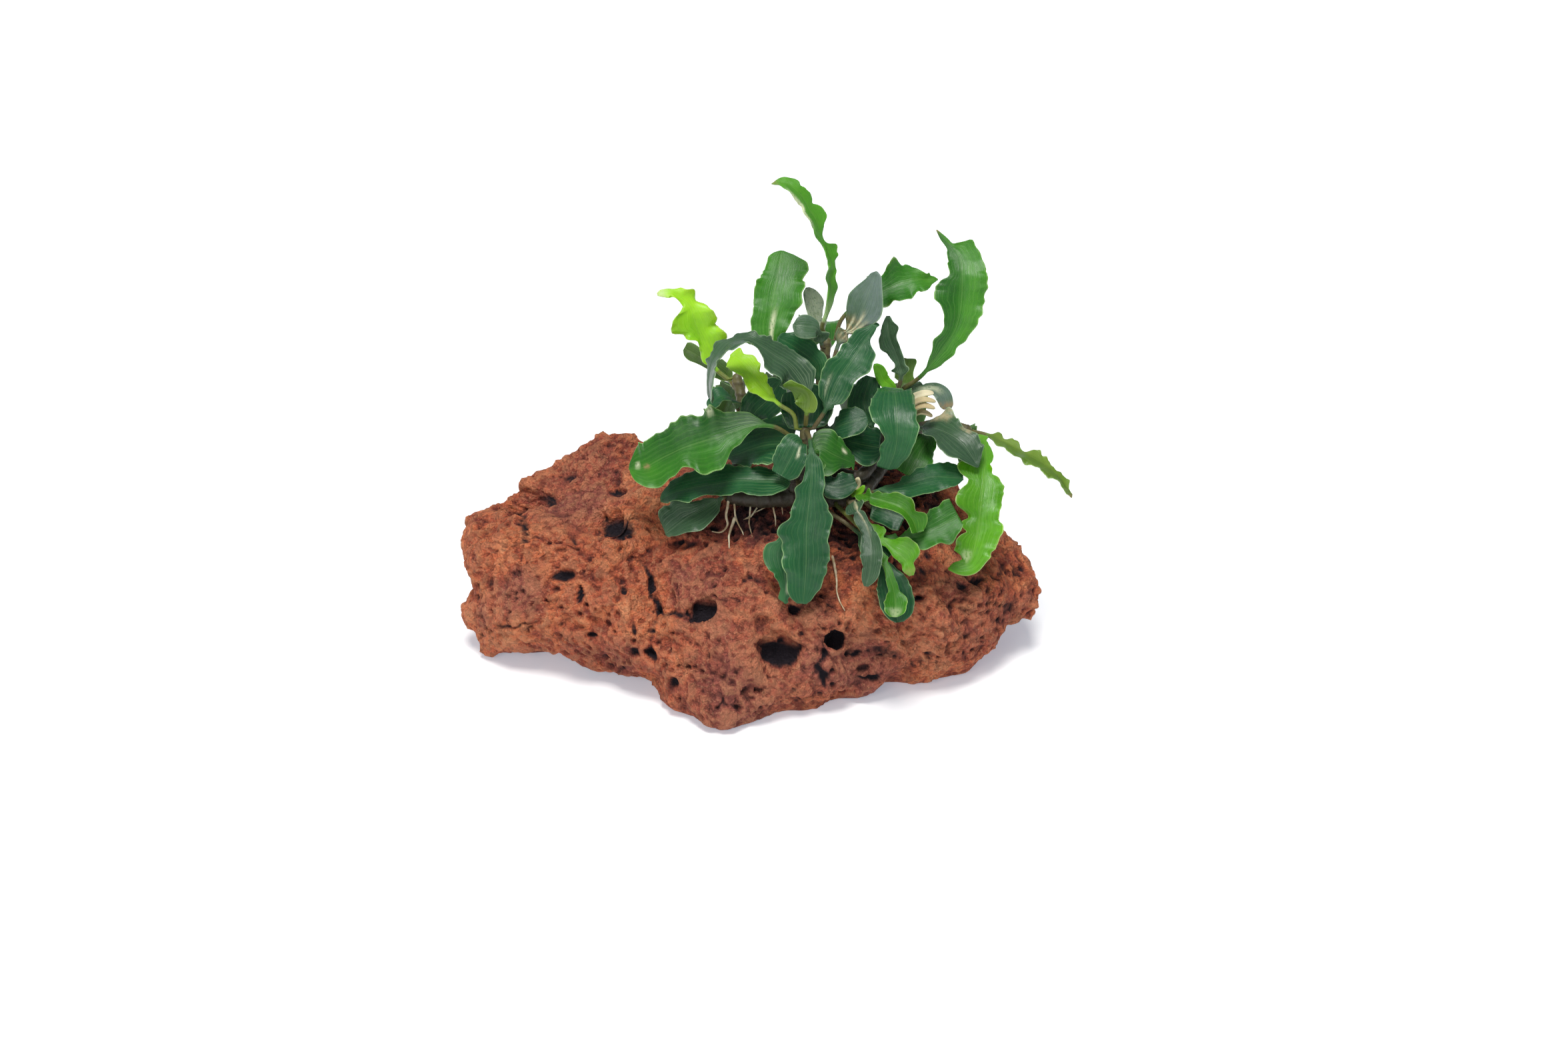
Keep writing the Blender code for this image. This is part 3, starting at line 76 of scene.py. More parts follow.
OUTLINE_MARKS = [
    (694, 815, -6), (708, 765, -8), (735, 748, -9), (768, 756, -8), (775, 718, -9), (820, 703, -9),
    (862, 672, -11), (898, 645, -12), (935, 655, -11), (1000, 668, -12), (1100, 672, -12),
    (1220, 668, -12), (1330, 690, -10), (1440, 733, -8), (1510, 800, -6), (1545, 840, -6),
    (1558, 880, -5), (1543, 925, -3), (1498, 943, 0), (1484, 980, 1), (1450, 1012, 2),
    (1400, 1022, 6), (1320, 1035, 11), (1200, 1072, 16), (1090, 1095, 20), (1010, 1065, 17),
    (985, 1020, 12), (930, 1015, 10), (850, 990, 5), (800, 975, 1), (735, 980, -3),
    (705, 930, -4), (700, 860, -5),
]
FRONT_MARKS = [
    (760, 800, 4), (770, 890, 8), (900, 740, 2), (860, 850, 12), (930, 900, 17), (985, 870, 14),
    (1000, 960, 20), (1100, 830, 19), (1100, 900, 22), (1100, 1000, 26), (1000, 740, 5),
    (1110, 770, 12.5), (1200, 760, 11.4), (1300, 787, 12.5), (1240, 870, 20), (1300, 930, 21),
    (1400, 860, 17), (1420, 950, 16), (1500, 870, 9), (1220, 1010, 22), (1200, 722, -4),
    (1000, 700, -3), (1380, 780, 5),
]
BACK_POINTS = [
    (-52, 18, 14), (-30, 33, 22), (-30, 30, 5), (0, 36, 22), (5, 34, 5), (30, 31, 18),
    (28, 29, 5), (55, 13, 15), (10, 30, 31), (-14, 28, 35), (-62, 7, 18), (-59, 13, 21),
    (-53, 18, 25), (-44, 23, 29), (-28, 27, 33), (-61, 8, 9), (-50, 20, 7), (59, 7, 9),
]
UNDERSIDE_POINTS = [
    (-46, 0, 2), (-59, 0, 4), (46, 0, 3), (0, -20, -4), (0, 20, -3), (-25, -5, -3), (25, -5, -3),
    (-15, 22, 0), (20, 22, 1), (-34, -12, 1), (-22, -19, 1), (32, -22, 1), (52, -14, 4),
]
HOLLOWS = [
    ((925, 785, 5), 4.2, 4.0), ((1055, 912, 21), 2.6, 2.6), ((1168, 978, 24), 4.0, 3.6),
    ((1253, 957, 22), 2.2, 2.2), ((1022, 812, 10), 3.4, 1.8), ((990, 905, 17), 3.0, 1.2),
    ((1085, 1068, 23), 4.5, -1.6), ((1150, 885, 22), 5.0, -0.8), ((760, 738, -11), 5.0, 4.4),
    ((838, 978, -2), 3.6, 2.6),
]

# Broken bubbles that show in front: place in the picture, half width, half height and depth in
# millimetres. The last five, whose depth is below 0, are knobs.
BROKEN_BUBBLES = [
    (926, 789, 4.6, 2.6, 2.4), (1056, 915, 2.2, 2.2, 2.6), (1169, 981, 4.4, 2.8, 3.2),
    (1256, 960, 2.2, 1.9, 2.8),
    (1022, 812, 4.0, 1.1, 1.2), (1194, 914, 1.3, 1.2, 2.2), (1202, 951, 0.8, 0.7, 1.2),
    (1379, 899, 1.1, 0.8, 1.2), (1131, 914, 0.7, 0.7, 0.8), (736, 875, 0.6, 0.6, 0.9),
    (844, 861, 2.3, 1.5, 1.5), (871, 892, 0.7, 2.2, 1.2), (821, 745, 2.3, 1.4, 1.3),
    (852, 709, 1.7, 0.8, 1.2), (927, 732, 2.4, 1.0, 1.4), (789, 808, 1.1, 0.8, 0.9),
    (864, 804, 0.9, 1.0, 1.0), (930, 820, 0.7, 1.5, 1.0), (850, 836, 1.2, 0.7, 0.9),
    (936, 884, 1.0, 1.3, 1.1), (952, 942, 0.8, 1.6, 1.1), (891, 956, 1.2, 0.7, 1.2),
    (949, 982, 1.3, 1.0, 1.6), (975, 984, 1.2, 1.5, 1.7), (905, 986, 0.7, 0.6, 0.9),
    (932, 1007, 1.2, 0.6, 1.0), (1011, 1026, 1.0, 1.2, 1.2), (1468, 866, 1.9, 1.0, 1.2),
    (1446, 876, 1.3, 0.7, 0.9), (1307, 1022, 2.0, 0.8, 1.4), (980, 872, 0.9, 1.6, 1.2),
    (984, 908, 1.3, 1.5, 1.4), (1505, 850, 1.0, 1.4, 0.9), (1395, 985, 1.3, 0.7, 1.0),
    (1120, 960, 14.0, 9.0, -0.9), (780, 890, 7.0, 7.0, -0.8), (1091, 1071, 3.4, 2.6, -0.8),
    (890, 820, 8.0, 5.0, -0.7), (1430, 925, 9.0, 6.0, -0.6),
]
# Creases: the line in the picture, then width and depth in millimetres
CREASES = [
    ([(972, 850), (980, 873), (985, 905), (997, 922), (1030, 925), (1056, 925)], 0.8, 1.2),
    ([(984, 905), (973, 940), (979, 988)], 0.7, 0.9),
    ([(1240, 975), (1236, 1000), (1238, 1027)], 0.9, 1.5),
    ([(1281, 988), (1318, 976), (1350, 990)], 1.3, 0.9),
    ([(1070, 1064), (1089, 1057), (1109, 1066)], 0.5, 0.9),
    ([(749, 939), (774, 945), (811, 934)], 0.5, 0.8),
    ([(1070, 899), (1092, 899), (1100, 906)], 0.4, 0.7),
    ([(1107, 868), (1128, 860), (1148, 861)], 0.5, 0.8),
    ([(780, 765), (800, 800), (850, 815), (890, 835)], 0.7, 0.7),
]
# Darker, purple-brown patches: place in the picture, half width in millimetres, strength
STAINS = [
    (782, 893, 6.0, 0.9), (1105, 1055, 7.0, 0.5), (1445, 872, 5.0, 0.8), (930, 990, 6.0, 0.5),
    (1310, 1012, 8.0, 0.7), (880, 690, 9.0, 0.55), (1125, 872, 4.0, 0.5), (1235, 1000, 4.5, 0.6),
    (1480, 940, 7.0, 0.5), (820, 745, 6.0, 0.4), (1120, 740, 12.0, 0.5), (1010, 850, 4.0, 0.3),
    (1110, 1025, 15.0, 0.7), (1255, 985, 11.0, 0.6), (1400, 960, 9.0, 0.4),
]
# Painted shade where the stone is dark: painted shadow under the plant, and painted shade low in front and
# at its right end.
# Place in the picture, half width in millimetres, strength
PAINTED_SHADE_PATCHES = [
    (1080, 780, 4.5, 0.60), (1125, 772, 5.5, 0.80), (1180, 778, 5.5, 0.75), (1255, 785, 6.0, 0.70),
    (1262, 845, 4.5, 0.60), (1300, 795, 7.0, 0.75), (1345, 760, 8.0, 0.80), (1395, 770, 6.5, 0.75),
    (1340, 855, 4.5, 0.60), (1385, 845, 3.5, 0.50), (1240, 905, 3.0, 0.40), (1300, 720, 9.0, 0.75),
    (1225, 1045, 6.5, 0.30), (1335, 1038, 7.0, 0.34), (1440, 1005, 6.0, 0.26), (1010, 1050, 4.0, 0.15),
    (1522, 885, 6.5, 0.32), (1478, 950, 7.0, 0.26), (1415, 935, 5.0, 0.10),
]
# Crumbs that stand out and open pits that go in, over all of it: the size of a cell in millimetres,
# the share of cells that hold one, its least and most radius as shares of the cell, and its height
CRUMBS = [(3.6, 0.6, 0.25, 0.65, 0.50), (1.8, 0.8, 0.30, 0.70, 0.50)]
PITS = [(8.0, 0.22, 0.12, 0.34, 0.9), (4.0, 0.45, 0.12, 0.36, 1.1), (2.1, 0.75, 0.18, 0.46, 1.2)]
PIT_SALT = 60
# Ledges of broken crust: how many a swell makes, how ragged they are, their height, and the shares of
# a ledge that its level tread and then its ramp take
LEDGES_A_SWELL = 2.2
LEDGE_RAGGEDNESS = 0.7
LEDGE_HEIGHT = 0.62
LEDGE_TREAD = 0.38
LEDGE_RAMP = 0.24
# Smooth noise that makes the skin vary: the size of its swells in millimetres, and its salt
WARP_SWELL = (2.6, 40)
LEDGE_SWELL = (7.5, 5)
RAGGED_SWELL = (2.8, 6)
PIT_SWELL = (22.0, 7)
CRUMB_SWELL = (15.0, 8)
GRAIN_SWELL = (1.5, 9)
STAIN_SWELL = (13.0, 90)
GRAIN_HEIGHT = 0.22
# How far the warp moves a point before its skin is looked up, and the share of it that each form takes
WARP_REACH = 1.3
BUBBLE_WARP = 0.4
PIT_WARP = 0.5
CRUMB_WARP = 0.6
STAIN_WARP = 2.0
# Below this height the skin is smooth, for the stone to rest on
RESTING_HEIGHT = 2.5
# Shade: how many times moves are evened for close and for broad surroundings, and what each counts for
CLOSE_ROUNDS = 4
BROAD_ROUNDS = 36
CLOSE_SHADE = 0.8
BROAD_SHADE = 0.45
BRIGHTEST_RIDGE = -0.35


def seen(x, y, toward):
    """The point at a pixel of the picture, a given way nearer the viewer than the stone's middle."""
    spread = PIXEL * (1.0 - toward / EYE_DISTANCE)
    right = (x - PICTURE_MIDDLE[0]) * spread
    up = (PICTURE_MIDDLE[1] - y) * spread
    return AIM + right * ACROSS + up * UPWARD + toward * TOWARD


def in_picture(points):
    """Where points show in the picture: x and y in its pixels, the inverse of seen."""
    away = points - AIM
    spread = PIXEL * (1.0 - away @ TOWARD / EYE_DISTANCE)
    return np.stack([PICTURE_MIDDLE[0] + away @ ACROSS / spread,
                     PICTURE_MIDDLE[1] - away @ UPWARD / spread], axis=-1)


def unit(vectors):
    """The same directions, one long."""
    return vectors / np.linalg.norm(vectors, axis=-1, keepdims=True)


def cell_value(cells, salt):
    """A number from 0 to 1 for each cell of a lattice, the same each time: its counts, mixed."""
    mixed = cells[..., 0] * 73856093 ^ cells[..., 1] * 19349663
    mixed = mixed ^ cells[..., 2] * 83492791 ^ salt * 2654435761
    mixed = (mixed ^ (mixed >> 13)) * 1274126177
    mixed = (mixed ^ (mixed >> 16)) & 0xFFFFFF
    return mixed / 0xFFFFFF


def soft_noise(points, size, salt):
    """Smooth noise from -1 to 1: the values at the corners of a cell, blended across it."""
    place = np.asarray(points, float) / size
    cell = np.floor(place).astype(np.int64)
    part = place - cell
    part = part * part * (3.0 - 2.0 * part)
    total = 0.0
    for corner in np.ndindex(2, 2, 2):
        weight = np.prod(np.where(corner, part, 1.0 - part), axis=-1)
        total = total + weight * cell_value(cell + corner, salt)
    return 2.0 * total - 1.0


def soft_shift(points, size, salt):
    """A smooth, uneven shift of each point: one smooth noise for each axis, from three salts in a row."""
    return np.stack([soft_noise(points, size, salt + axis) for axis in range(3)], axis=-1)


def balls(points, size, share, least, most, salt):
    """How deep each point lies in seeded balls, one in a share of the cells of a lattice.

    The depth, in millimetres, is the root of the radius squared less the distance squared, so a ball
    ends in a sharp rim, and where two meet there is a crease.
    """
    cell = np.floor(points / size).astype(np.int64)
    deep = np.zeros(len(points))
    for shift in np.ndindex(3, 3, 3):
        near = cell + np.array(shift) - 1
        offset = np.stack([cell_value(near, salt + axis) for axis in range(3)], axis=-1)
        radius = size * (least + (most - least) * cell_value(near, salt + 3) ** 1.5)
        away = np.linalg.norm(points - (near + 0.1 + 0.8 * offset) * size, axis=1)
        inside = np.clip(radius ** 2 - away ** 2, 0.0, None) * (cell_value(near, salt + 4) < share)
        deep = np.maximum(deep, np.sqrt(inside))
    return deep


def stone_lumps(points):
    """Swells and crags: sums of sine waves of seeded directions, lengths and phases."""
    seed = np.random.default_rng(STONE_SEED)
    total = np.zeros(len(points))
    for longest, shortest, height in LUMPS:
        for _ in range(LUMP_WAVES):
            way = unit(seed.normal(size=3))
            length = seed.uniform(shortest, longest)
            phase = seed.uniform(0, 2 * np.pi)
            swell = np.sin(2 * np.pi * (points @ way) / length + phase)
            total += height / np.sqrt(LUMP_WAVES / 2) * swell
    return total


def stone_surface(ways):
    """Points of the stone along unit directions from its middle, before its grain.

    The distance is a blend through the marks, weighted by a softened distance between directions.
    The swells are added to it and each hollow takes a round, smooth-sided bite.
    """
    marks = [seen(*mark) for mark in OUTLINE_MARKS + FRONT_MARKS] + BACK_POINTS + UNDERSIDE_POINTS
    marks = np.array(marks, float) - STONE_MIDDLE
    reach = np.linalg.norm(marks, axis=1)
    mark_ways = unit(marks)
    count = len(marks)

    def kernel(a, b):
        apart = np.linalg.norm(a[:, None] - b[None], axis=2)
        return np.sqrt(apart ** 2 + BLEND_SOFTNESS ** 2)

    system = np.zeros((count + 1, count + 1))
    system[:count, :count] = kernel(mark_ways, mark_ways)
    system[:count, count] = 1.0
    system[count, :count] = 1.0
    shares = np.linalg.solve(system, np.append(reach, 0.0))
    distance = kernel(ways, mark_ways) @ shares[:count] + shares[count]
    distance += stone_lumps(ways * distance[:, None])
    for mark, size, depth in HOLLOWS:
        middle = seen(*mark) - STONE_MIDDLE
        away = np.linalg.norm(ways * np.linalg.norm(middle) - middle, axis=1) / size
        distance -= depth * np.exp(-away ** 4)
    return STONE_MIDDLE + ways * distance[:, None]


def box_lattice(counts):
    """Corners of a box cut into cells, from -1 to 1 each way, and its outward faces of four corners.

    Each side is a grid of two parameters. Corners that two sides share are one corner.
    """
    sides = []
    for axis in range(3):
        first, second = (axis + 1) % 3, (axis + 2) % 3
        u, v = np.indices((counts[first] + 1, counts[second] + 1))
        for end in (0, counts[axis]):
            grid = np.empty(u.shape + (3,), np.int64)
            grid[..., axis], grid[..., first], grid[..., second] = end, u, v
            cells = [grid[:-1, :-1], grid[1:, :-1], grid[1:, 1:], grid[:-1, 1:]]
            sides.append(np.stack(cells if end else cells[::-1], axis=2).reshape(-1, 4, 3))
    quads = np.concatenate(sides)
    steps = np.array([1, counts[0] + 1, (counts[0] + 1) * (counts[1] + 1)])
    keys, faces = np.unique((quads * steps).sum(-1), return_inverse=True)
    places = np.stack([keys // steps[axis] % (counts[axis] + 1) for axis in range(3)], axis=1)
    return 2.0 * places / counts - 1.0, faces.reshape(-1, 4)


def corner_normals(points, faces):
    """The outward way at each corner: the sum of the normals of the faces that meet there."""
    a, b, c, d = (points[faces[:, place]] for place in range(4))
    normals = np.cross(c - a, d - b)
    total = np.zeros_like(points)
    for place in range(4):
        np.add.at(total, faces[:, place], normals)
    return unit(total)


def evened(values, faces, rounds):
    """Values at corners, each the mean of the means of its faces, a number of rounds over."""
    shares = np.bincount(faces.ravel(), minlength=len(values))
    for _ in range(rounds):
        means = values[faces].mean(1)
        values = np.bincount(faces.ravel(), np.repeat(means, faces.shape[1]), len(values)) / shares
    return values


def line_distance(places, line):
    """The distance from places in a plane to a line of straight runs."""
    line = np.asarray(line, float)
    nearest = np.full(len(places), np.inf)
    for start, end in zip(line[:-1], line[1:]):
        run = end - start
        part = np.clip((places - start) @ run / (run @ run), 0.0, 1.0)
        nearest = np.minimum(nearest, np.linalg.norm(places - start - part[:, None] * run, axis=1))
    return nearest


def make_mesh(name, points, faces):
    """A mesh object at the origin, from points in millimetres and faces of three or four corners.

    The faces are turned round where the volume that they enclose comes out below 0, so they point out.
    """
    corners = [points[faces[:, place]] for place in range(faces.shape[1])]
    if np.einsum("ij,ij->", corners[0], np.cross(corners[1], corners[-1])) < 0.0:
        faces = faces[:, ::-1]
    mesh = bpy.data.meshes.new(name)
    mesh.vertices.add(len(points))
    mesh.vertices.foreach_set("co", (points * MILLIMETRE).astype(np.float32).ravel())
    mesh.loops.add(faces.size)
    mesh.loops.foreach_set("vertex_index", faces.astype(np.int32).ravel())
    mesh.polygons.add(len(faces))
    mesh.polygons.foreach_set("loop_start", np.arange(len(faces), dtype=np.int32) * faces.shape[1])
    mesh.update(calc_edges=True)
    mesh.validate()
    mesh.shade_smooth()
    piece = bpy.data.objects.new(name, mesh)
    bpy.context.scene.collection.objects.link(piece)
    return piece


def paint(piece, name, values):
    """Stores one number, or three, for each corner of a mesh under a name that its finish reads."""
    kind = "FLOAT" if values.ndim == 1 else "FLOAT_VECTOR"
    layer = piece.data.attributes.new(name, kind, "POINT")
    layer.data.foreach_set("value" if values.ndim == 1 else "vector", values.astype(np.float32).ravel())


def place(piece, node, slot):
    """The piece rides with the part and stands for its CAD node, whose part it hides. Its slot is not
    used.
    """
    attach(piece, "root")
    if node:
        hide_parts(node)


def spot(places, x, y, wide, tall):
    """A flat-topped oval mark in the picture: 1 at its middle and about a third at its half sizes.

    It is e to the power of minus the fourth power of the distance, counted in half sizes.
    """
    aside = (places - (x, y)) * PIXEL / (wide, tall)
    return np.exp(-np.linalg.norm(aside, axis=1) ** 4)


def broken_in(points, warp, facing):
    """How deep bubbles and creases are broken into the stone's front, in millimetres.

    A bubble is a spot times its depth. A crease is its depth times e to the power of minus the square
    of the distance from its line, counted in widths.
    """
    bite = np.zeros(len(points))
    places = in_picture(points + BUBBLE_WARP * warp)
    for x, y, wide, tall, depth in BROKEN_BUBBLES:
        bite += depth * spot(places, x, y, wide, tall) * facing
    places = in_picture(points + warp)
    for line, wide, depth in CREASES:
        aside = line_distance(places, line) * PIXEL / wide
        bite += depth * np.exp(-aside ** 2) * facing
    return bite


def crumbs_and_ledges(points, warp):
    """How far crumbs and ledges of crust stand out of the stone, in millimetres.

    Crumbs are balls of two sizes, less their mean depth, on a fine grain. Ledges are a swell cut into
    level treads, each with a ramp up to the next.
    """
    out = GRAIN_HEIGHT * soft_noise(points, *GRAIN_SWELL)
    crumb_share = np.clip(0.75 + 0.9 * soft_noise(points, *CRUMB_SWELL), 0.3, 1.3)
    for number, (size, share, least, most, height) in enumerate(CRUMBS):
        crumbs = balls(points + CRUMB_WARP * warp, size, share, least, most, 10 * number)
        out += height * crumb_share * (crumbs - crumbs.mean())
    swell = LEDGES_A_SWELL * soft_noise(points + warp, *LEDGE_SWELL)
    swell += LEDGE_RAGGEDNESS * soft_noise(points + warp, *RAGGED_SWELL)
    level = np.floor(swell)
    ramp = np.clip((swell - level - LEDGE_TREAD) / LEDGE_RAMP, 0.0, 1.0)
    return out + LEDGE_HEIGHT * (level + ramp - 0.5)


def open_pits(points, warp):
    """How deep the open pits go into the stone, in millimetres: the deepest of balls of three sizes."""
    deepest = np.zeros(len(points))
    for number, (size, share, least, most, depth) in enumerate(PITS):
        pits = balls(points + PIT_WARP * warp, size, share, least, most, PIT_SALT + 10 * number)
        deepest = np.maximum(deepest, depth * pits)
    return deepest * (0.75 + 0.35 * soft_noise(points, *PIT_SWELL))


def kept_above_floor(points):
    """The points, with those under the floor drawn up to it, straight towards the stone's middle."""
    below = points[:, 2] < 0.0
    reach = STONE_MIDDLE[2] / (STONE_MIDDLE[2] - points[below, 2])
    points[below] = STONE_MIDDLE + (points[below] - STONE_MIDDLE) * reach[:, None]
    return points


def fitted_to_solid(points):
    """The points, stretched evenly along each axis until their box is that of the stone's solid."""
    low, high = (np.array(corner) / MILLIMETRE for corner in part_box("stone"))
    fine_low, fine_high = points.min(0), points.max(0)
    return low + (points - fine_low) * (high - low) / (fine_high - fine_low)


def sunk_shade(move, bite, faces):
    """How shaded each point of the skin is: above 0 down in hollows, and below 0 on ridges.

    The move of a point is taken from the mean of the moves close round it, and from that of the moves
    farther round it. What is broken into the stone adds to that by its depth.
    """
    close = evened(move, faces, CLOSE_ROUNDS)
    broad = evened(close, faces, BROAD_ROUNDS)
    sunk = CLOSE_SHADE * (close - move) + BROAD_SHADE * (broad - move)
    return np.clip(sunk - 0.10, BRIGHTEST_RIDGE, 0.7) + np.clip(bite / 2.4, 0.0, 1.0)


lattice, stone_faces = box_lattice(STONE_CELLS)
stone_ways = unit(np.tan(lattice * np.pi / 4) * STONE_HALF)
stone_plain = stone_surface(stone_ways)
stone_out = corner_normals(stone_plain, stone_faces)
broad_out = unit((stone_plain - STONE_MIDDLE) / STONE_HALF ** 2)
facing = np.clip(3.0 * (broad_out @ TOWARD) + 0.3, 0.0, 1.0)
warp = WARP_REACH * soft_shift(stone_plain, *WARP_SWELL)

stone_bite = broken_in(stone_plain, warp, facing)
stone_crumbs = crumbs_and_ledges(stone_plain, warp) * (1.0 - 0.8 * np.clip(stone_bite / 2.0, 0.0, 1.0))
resting = np.clip(stone_plain[:, 2] / RESTING_HEIGHT, 0.0, 1.0)
stone_move = (stone_crumbs - open_pits(stone_plain, warp)) * resting - stone_bite
stone_points = kept_above_floor(stone_plain + stone_out * stone_move[:, None])
stone_points = fitted_to_solid(stone_points)

warped_seen = in_picture(stone_plain + warp)
stone_stain = 1.6 * soft_noise(stone_plain + STAIN_WARP * warp, *STAIN_SWELL) - 0.25
stone_stain = np.clip(stone_stain, 0.0, 0.8)
for x, y, size, strength in STAINS:
    stone_stain += strength * spot(warped_seen, x, y, size, size) * facing
# Painted shadow under the plant, and painted shade low in front and at the right end, darkening the
# stone's colour
painted_stone_shade = np.zeros(len(stone_plain))
for x, y, size, strength in PAINTED_SHADE_PATCHES:
    painted_stone_shade = np.maximum(painted_stone_shade, strength * spot(warped_seen, x, y, size, size) * facing)
stone_shade = sunk_shade(stone_move, stone_bite, stone_faces) + painted_stone_shade


def add_node(tree, kind, inputs, **settings):
    """Adds a node of a kind to a finish, sets it up, and links or sets each input that is named."""
    made = tree.nodes.new("ShaderNode" + kind)
    for name, value in settings.items():
        setattr(made, name, value)
    for where, value in inputs.items():
        if isinstance(value, bpy.types.NodeSocket):
            tree.links.new(value, made.inputs[where])
        else:
            made.inputs[where].default_value = value
    return made


def object_place(tree):
    """Where a point of the piece lies, in metres."""
    return add_node(tree, "TexCoord", {}).outputs["Object"]


def painted(tree, name, output="Fac"):
    """What was painted on the mesh under a name: a number, or the three of its Vector output."""
    return add_node(tree, "Attribute", {}, attribute_name=name).outputs[output]


def noise(tree, where, scale, detail=3.0, roughness=0.6):
    """Fractal noise about 0.5 at a number of swells a metre."""
    inputs = {"Vector": where, "Scale": scale, "Detail": detail, "Roughness": roughness}
    return add_node(tree, "TexNoise", inputs).outputs[0]


def maths(tree, operation, first, second=0.0, third=0.0):
    """One sum on numbers or on the outputs of other nodes."""
    inputs = {0: first, 1: second, 2: third}
    return add_node(tree, "Math", inputs, operation=operation).outputs[0]


def times(tree, first, second, added=None):
    """The product of two values, with a third added to it where there is one."""
    if added is None:
        return maths(tree, "MULTIPLY", first, second)
    return maths(tree, "MULTIPLY_ADD", first, second, added)


def rise(tree, value, low, high, start=0.0, end=1.0):
    """A value carried smoothly from one range to another and held at its ends."""
    inputs = {"Value": value, "From Min": low, "From Max": high, "To Min": start, "To Max": end}
    return add_node(tree, "MapRange", inputs, interpolation_type="SMOOTHSTEP").outputs[0]


def blend_colours(tree, share, first, second):
    """One colour run into another by a share from 0 to 1."""
    first, second = ((*c, 1.0) if isinstance(c, tuple) else c for c in (first, second))
    return add_node(tree, "Mix", {0: share, 6: first, 7: second}, data_type="RGBA").outputs[2]


def colour_steps(tree, value, steps):
    """A colour for each value, run smoothly from step to step: (value, colour)."""
    made = add_node(tree, "ValToRGB", {0: value})
    band = made.color_ramp
    while len(band.elements) < len(steps):
        band.elements.new(0.5)
    for element, (stop, colour) in zip(band.elements, steps):
        element.position = stop
        element.color = (*colour, 1.0)
    return made.outputs[0]


def finish_sockets(tree, shader, colour, roughness, height, strength, distance):
    """Links a finish's colour, roughness and relief, which stands up to a distance in metres."""
    bump = add_node(tree, "Bump", {"Height": height, "Strength": strength, "Distance": distance})
    tree.links.new(bump.outputs[0], shader.inputs["Normal"])
    tree.links.new(colour, shader.inputs["Base Color"])
    tree.links.new(roughness, shader.inputs["Roughness"])


def new_finish(name, **constants):
    """A material, its node tree and its Principled shader, with the constant sockets set."""
    material = bpy.data.materials.new(name)
    material.use_nodes = True
    tree = material.node_tree
    shader = tree.nodes["Principled BSDF"]
    for socket, value in constants.items():
        shader.inputs[socket.replace("_", " ")].default_value = value
    return material, tree, shader


# Colours of the stone: rust from its dark to its bright parts, the purple-brown of stains from dark to
# bright, a painted highlight on crumbs, painted shade in fine pits, creases and hollows, and a painted
# highlight on ridges
RUST = [(0.30, (0.38, 0.082, 0.052)), (0.43, (0.70, 0.165, 0.080)), (0.55, (0.92, 0.260, 0.110)),
        (0.70, (1.0, 0.400, 0.190))]
STAIN_COLOURS = ((0.30, 0.085, 0.075), (0.54, 0.180, 0.135))
CRUMB_HIGHLIGHT_COLOUR = (1.0, 0.50, 0.28)
PIT_SHADE_COLOUR = (0.080, 0.022, 0.020)
CREASE_SHADE_COLOUR = (0.10, 0.030, 0.026)
HOLLOW_SHADE_COLOUR = (0.020, 0.015, 0.022)
RIDGE_HIGHLIGHT_COLOUR = (0.88, 0.38, 0.19)
# How far the grain's lumps are moved about, in metres, and how many a metre there are of each size
LUMP_SHIFT = (0.0014, 0.0014, 0.0014)
LUMP_SCALES = (620.0, 1400.0)


def lava_finish():
    """Rusty orange-brown crumbs over purple-brown ground, with painted highlights on crumbs and ridges and
    painted shade in fine pits, creases and hollows that is nearly black down in the open bubbles.
    """
    material, tree, shader = new_finish("lava_stone", Specular_IOR_Level=0.25)
    where = object_place(tree)
    shade = painted(tree, "shade")
    broad = noise(tree, where, 38.0, 4.0)
    crumb = noise(tree, where, 260.0, 6.0, 0.65)
    grain = noise(tree, where, 1100.0, 4.0, 0.7)
    uneven = add_node(tree, "TexNoise", {"Vector": where, "Scale": 500.0, "Detail": 2.0}).outputs["Color"]
    moved = add_node(tree, "VectorMath", {0: uneven, 1: LUMP_SHIFT, 2: where}, operation="MULTIPLY_ADD")
    lumps = [add_node(tree, "TexVoronoi", {"Vector": moved.outputs[0], "Scale": scale}).outputs["Distance"]
             for scale in LUMP_SCALES]
    creases = times(tree, lumps[0], 0.6, times(tree, lumps[1], 0.4))
    ground = times(tree, broad, 0.7, times(tree, crumb, 1.0, -0.39))
    stain = times(tree, painted(tree, "stain"), 0.75)
    colour = blend_colours(tree, stain, colour_steps(tree, ground, RUST),
                           blend_colours(tree, crumb, *STAIN_COLOURS))
    # Painted highlights on crumb tops and ridges, and painted shade in fine pits, creases, hollows and
    # open bubbles
    bright = times(tree, rise(tree, grain, 0.53, 0.68), 0.45)
    pit_shade = times(tree, rise(tree, grain, 0.44, 0.33), 0.6)
    crease_shade = times(tree, rise(tree, creases, 0.48, 0.64), 0.42)
    hollow = rise(tree, shade, 0.0, 1.0)
    ridge_highlight = rise(tree, shade, 0.0, BRIGHTEST_RIDGE, 0.0, -BRIGHTEST_RIDGE)
    for share, over in ((bright, CRUMB_HIGHLIGHT_COLOUR), (pit_shade, PIT_SHADE_COLOUR), (crease_shade, CREASE_SHADE_COLOUR),
                        (hollow, HOLLOW_SHADE_COLOUR), (ridge_highlight, RIDGE_HIGHLIGHT_COLOUR)):
        colour = blend_colours(tree, share, colour, over)
    fine = times(tree, grain, 0.9, crumb)
    relief = times(tree, creases, -0.7, fine)
    roughness = rise(tree, grain, 0.3, 0.8, 0.82, 0.97)
    finish_sockets(tree, shader, colour, roughness, relief, 1.0, 0.0028)
    return material


stone = make_mesh("lava_stone", stone_points, stone_faces)
stone.data.materials.append(lava_finish())
paint(stone, "shade", np.clip(stone_shade, BRIGHTEST_RIDGE, 1.0))
paint(stone, "stain", np.clip(stone_stain, 0.0, 1.0))
place(stone, "stone", "stone")

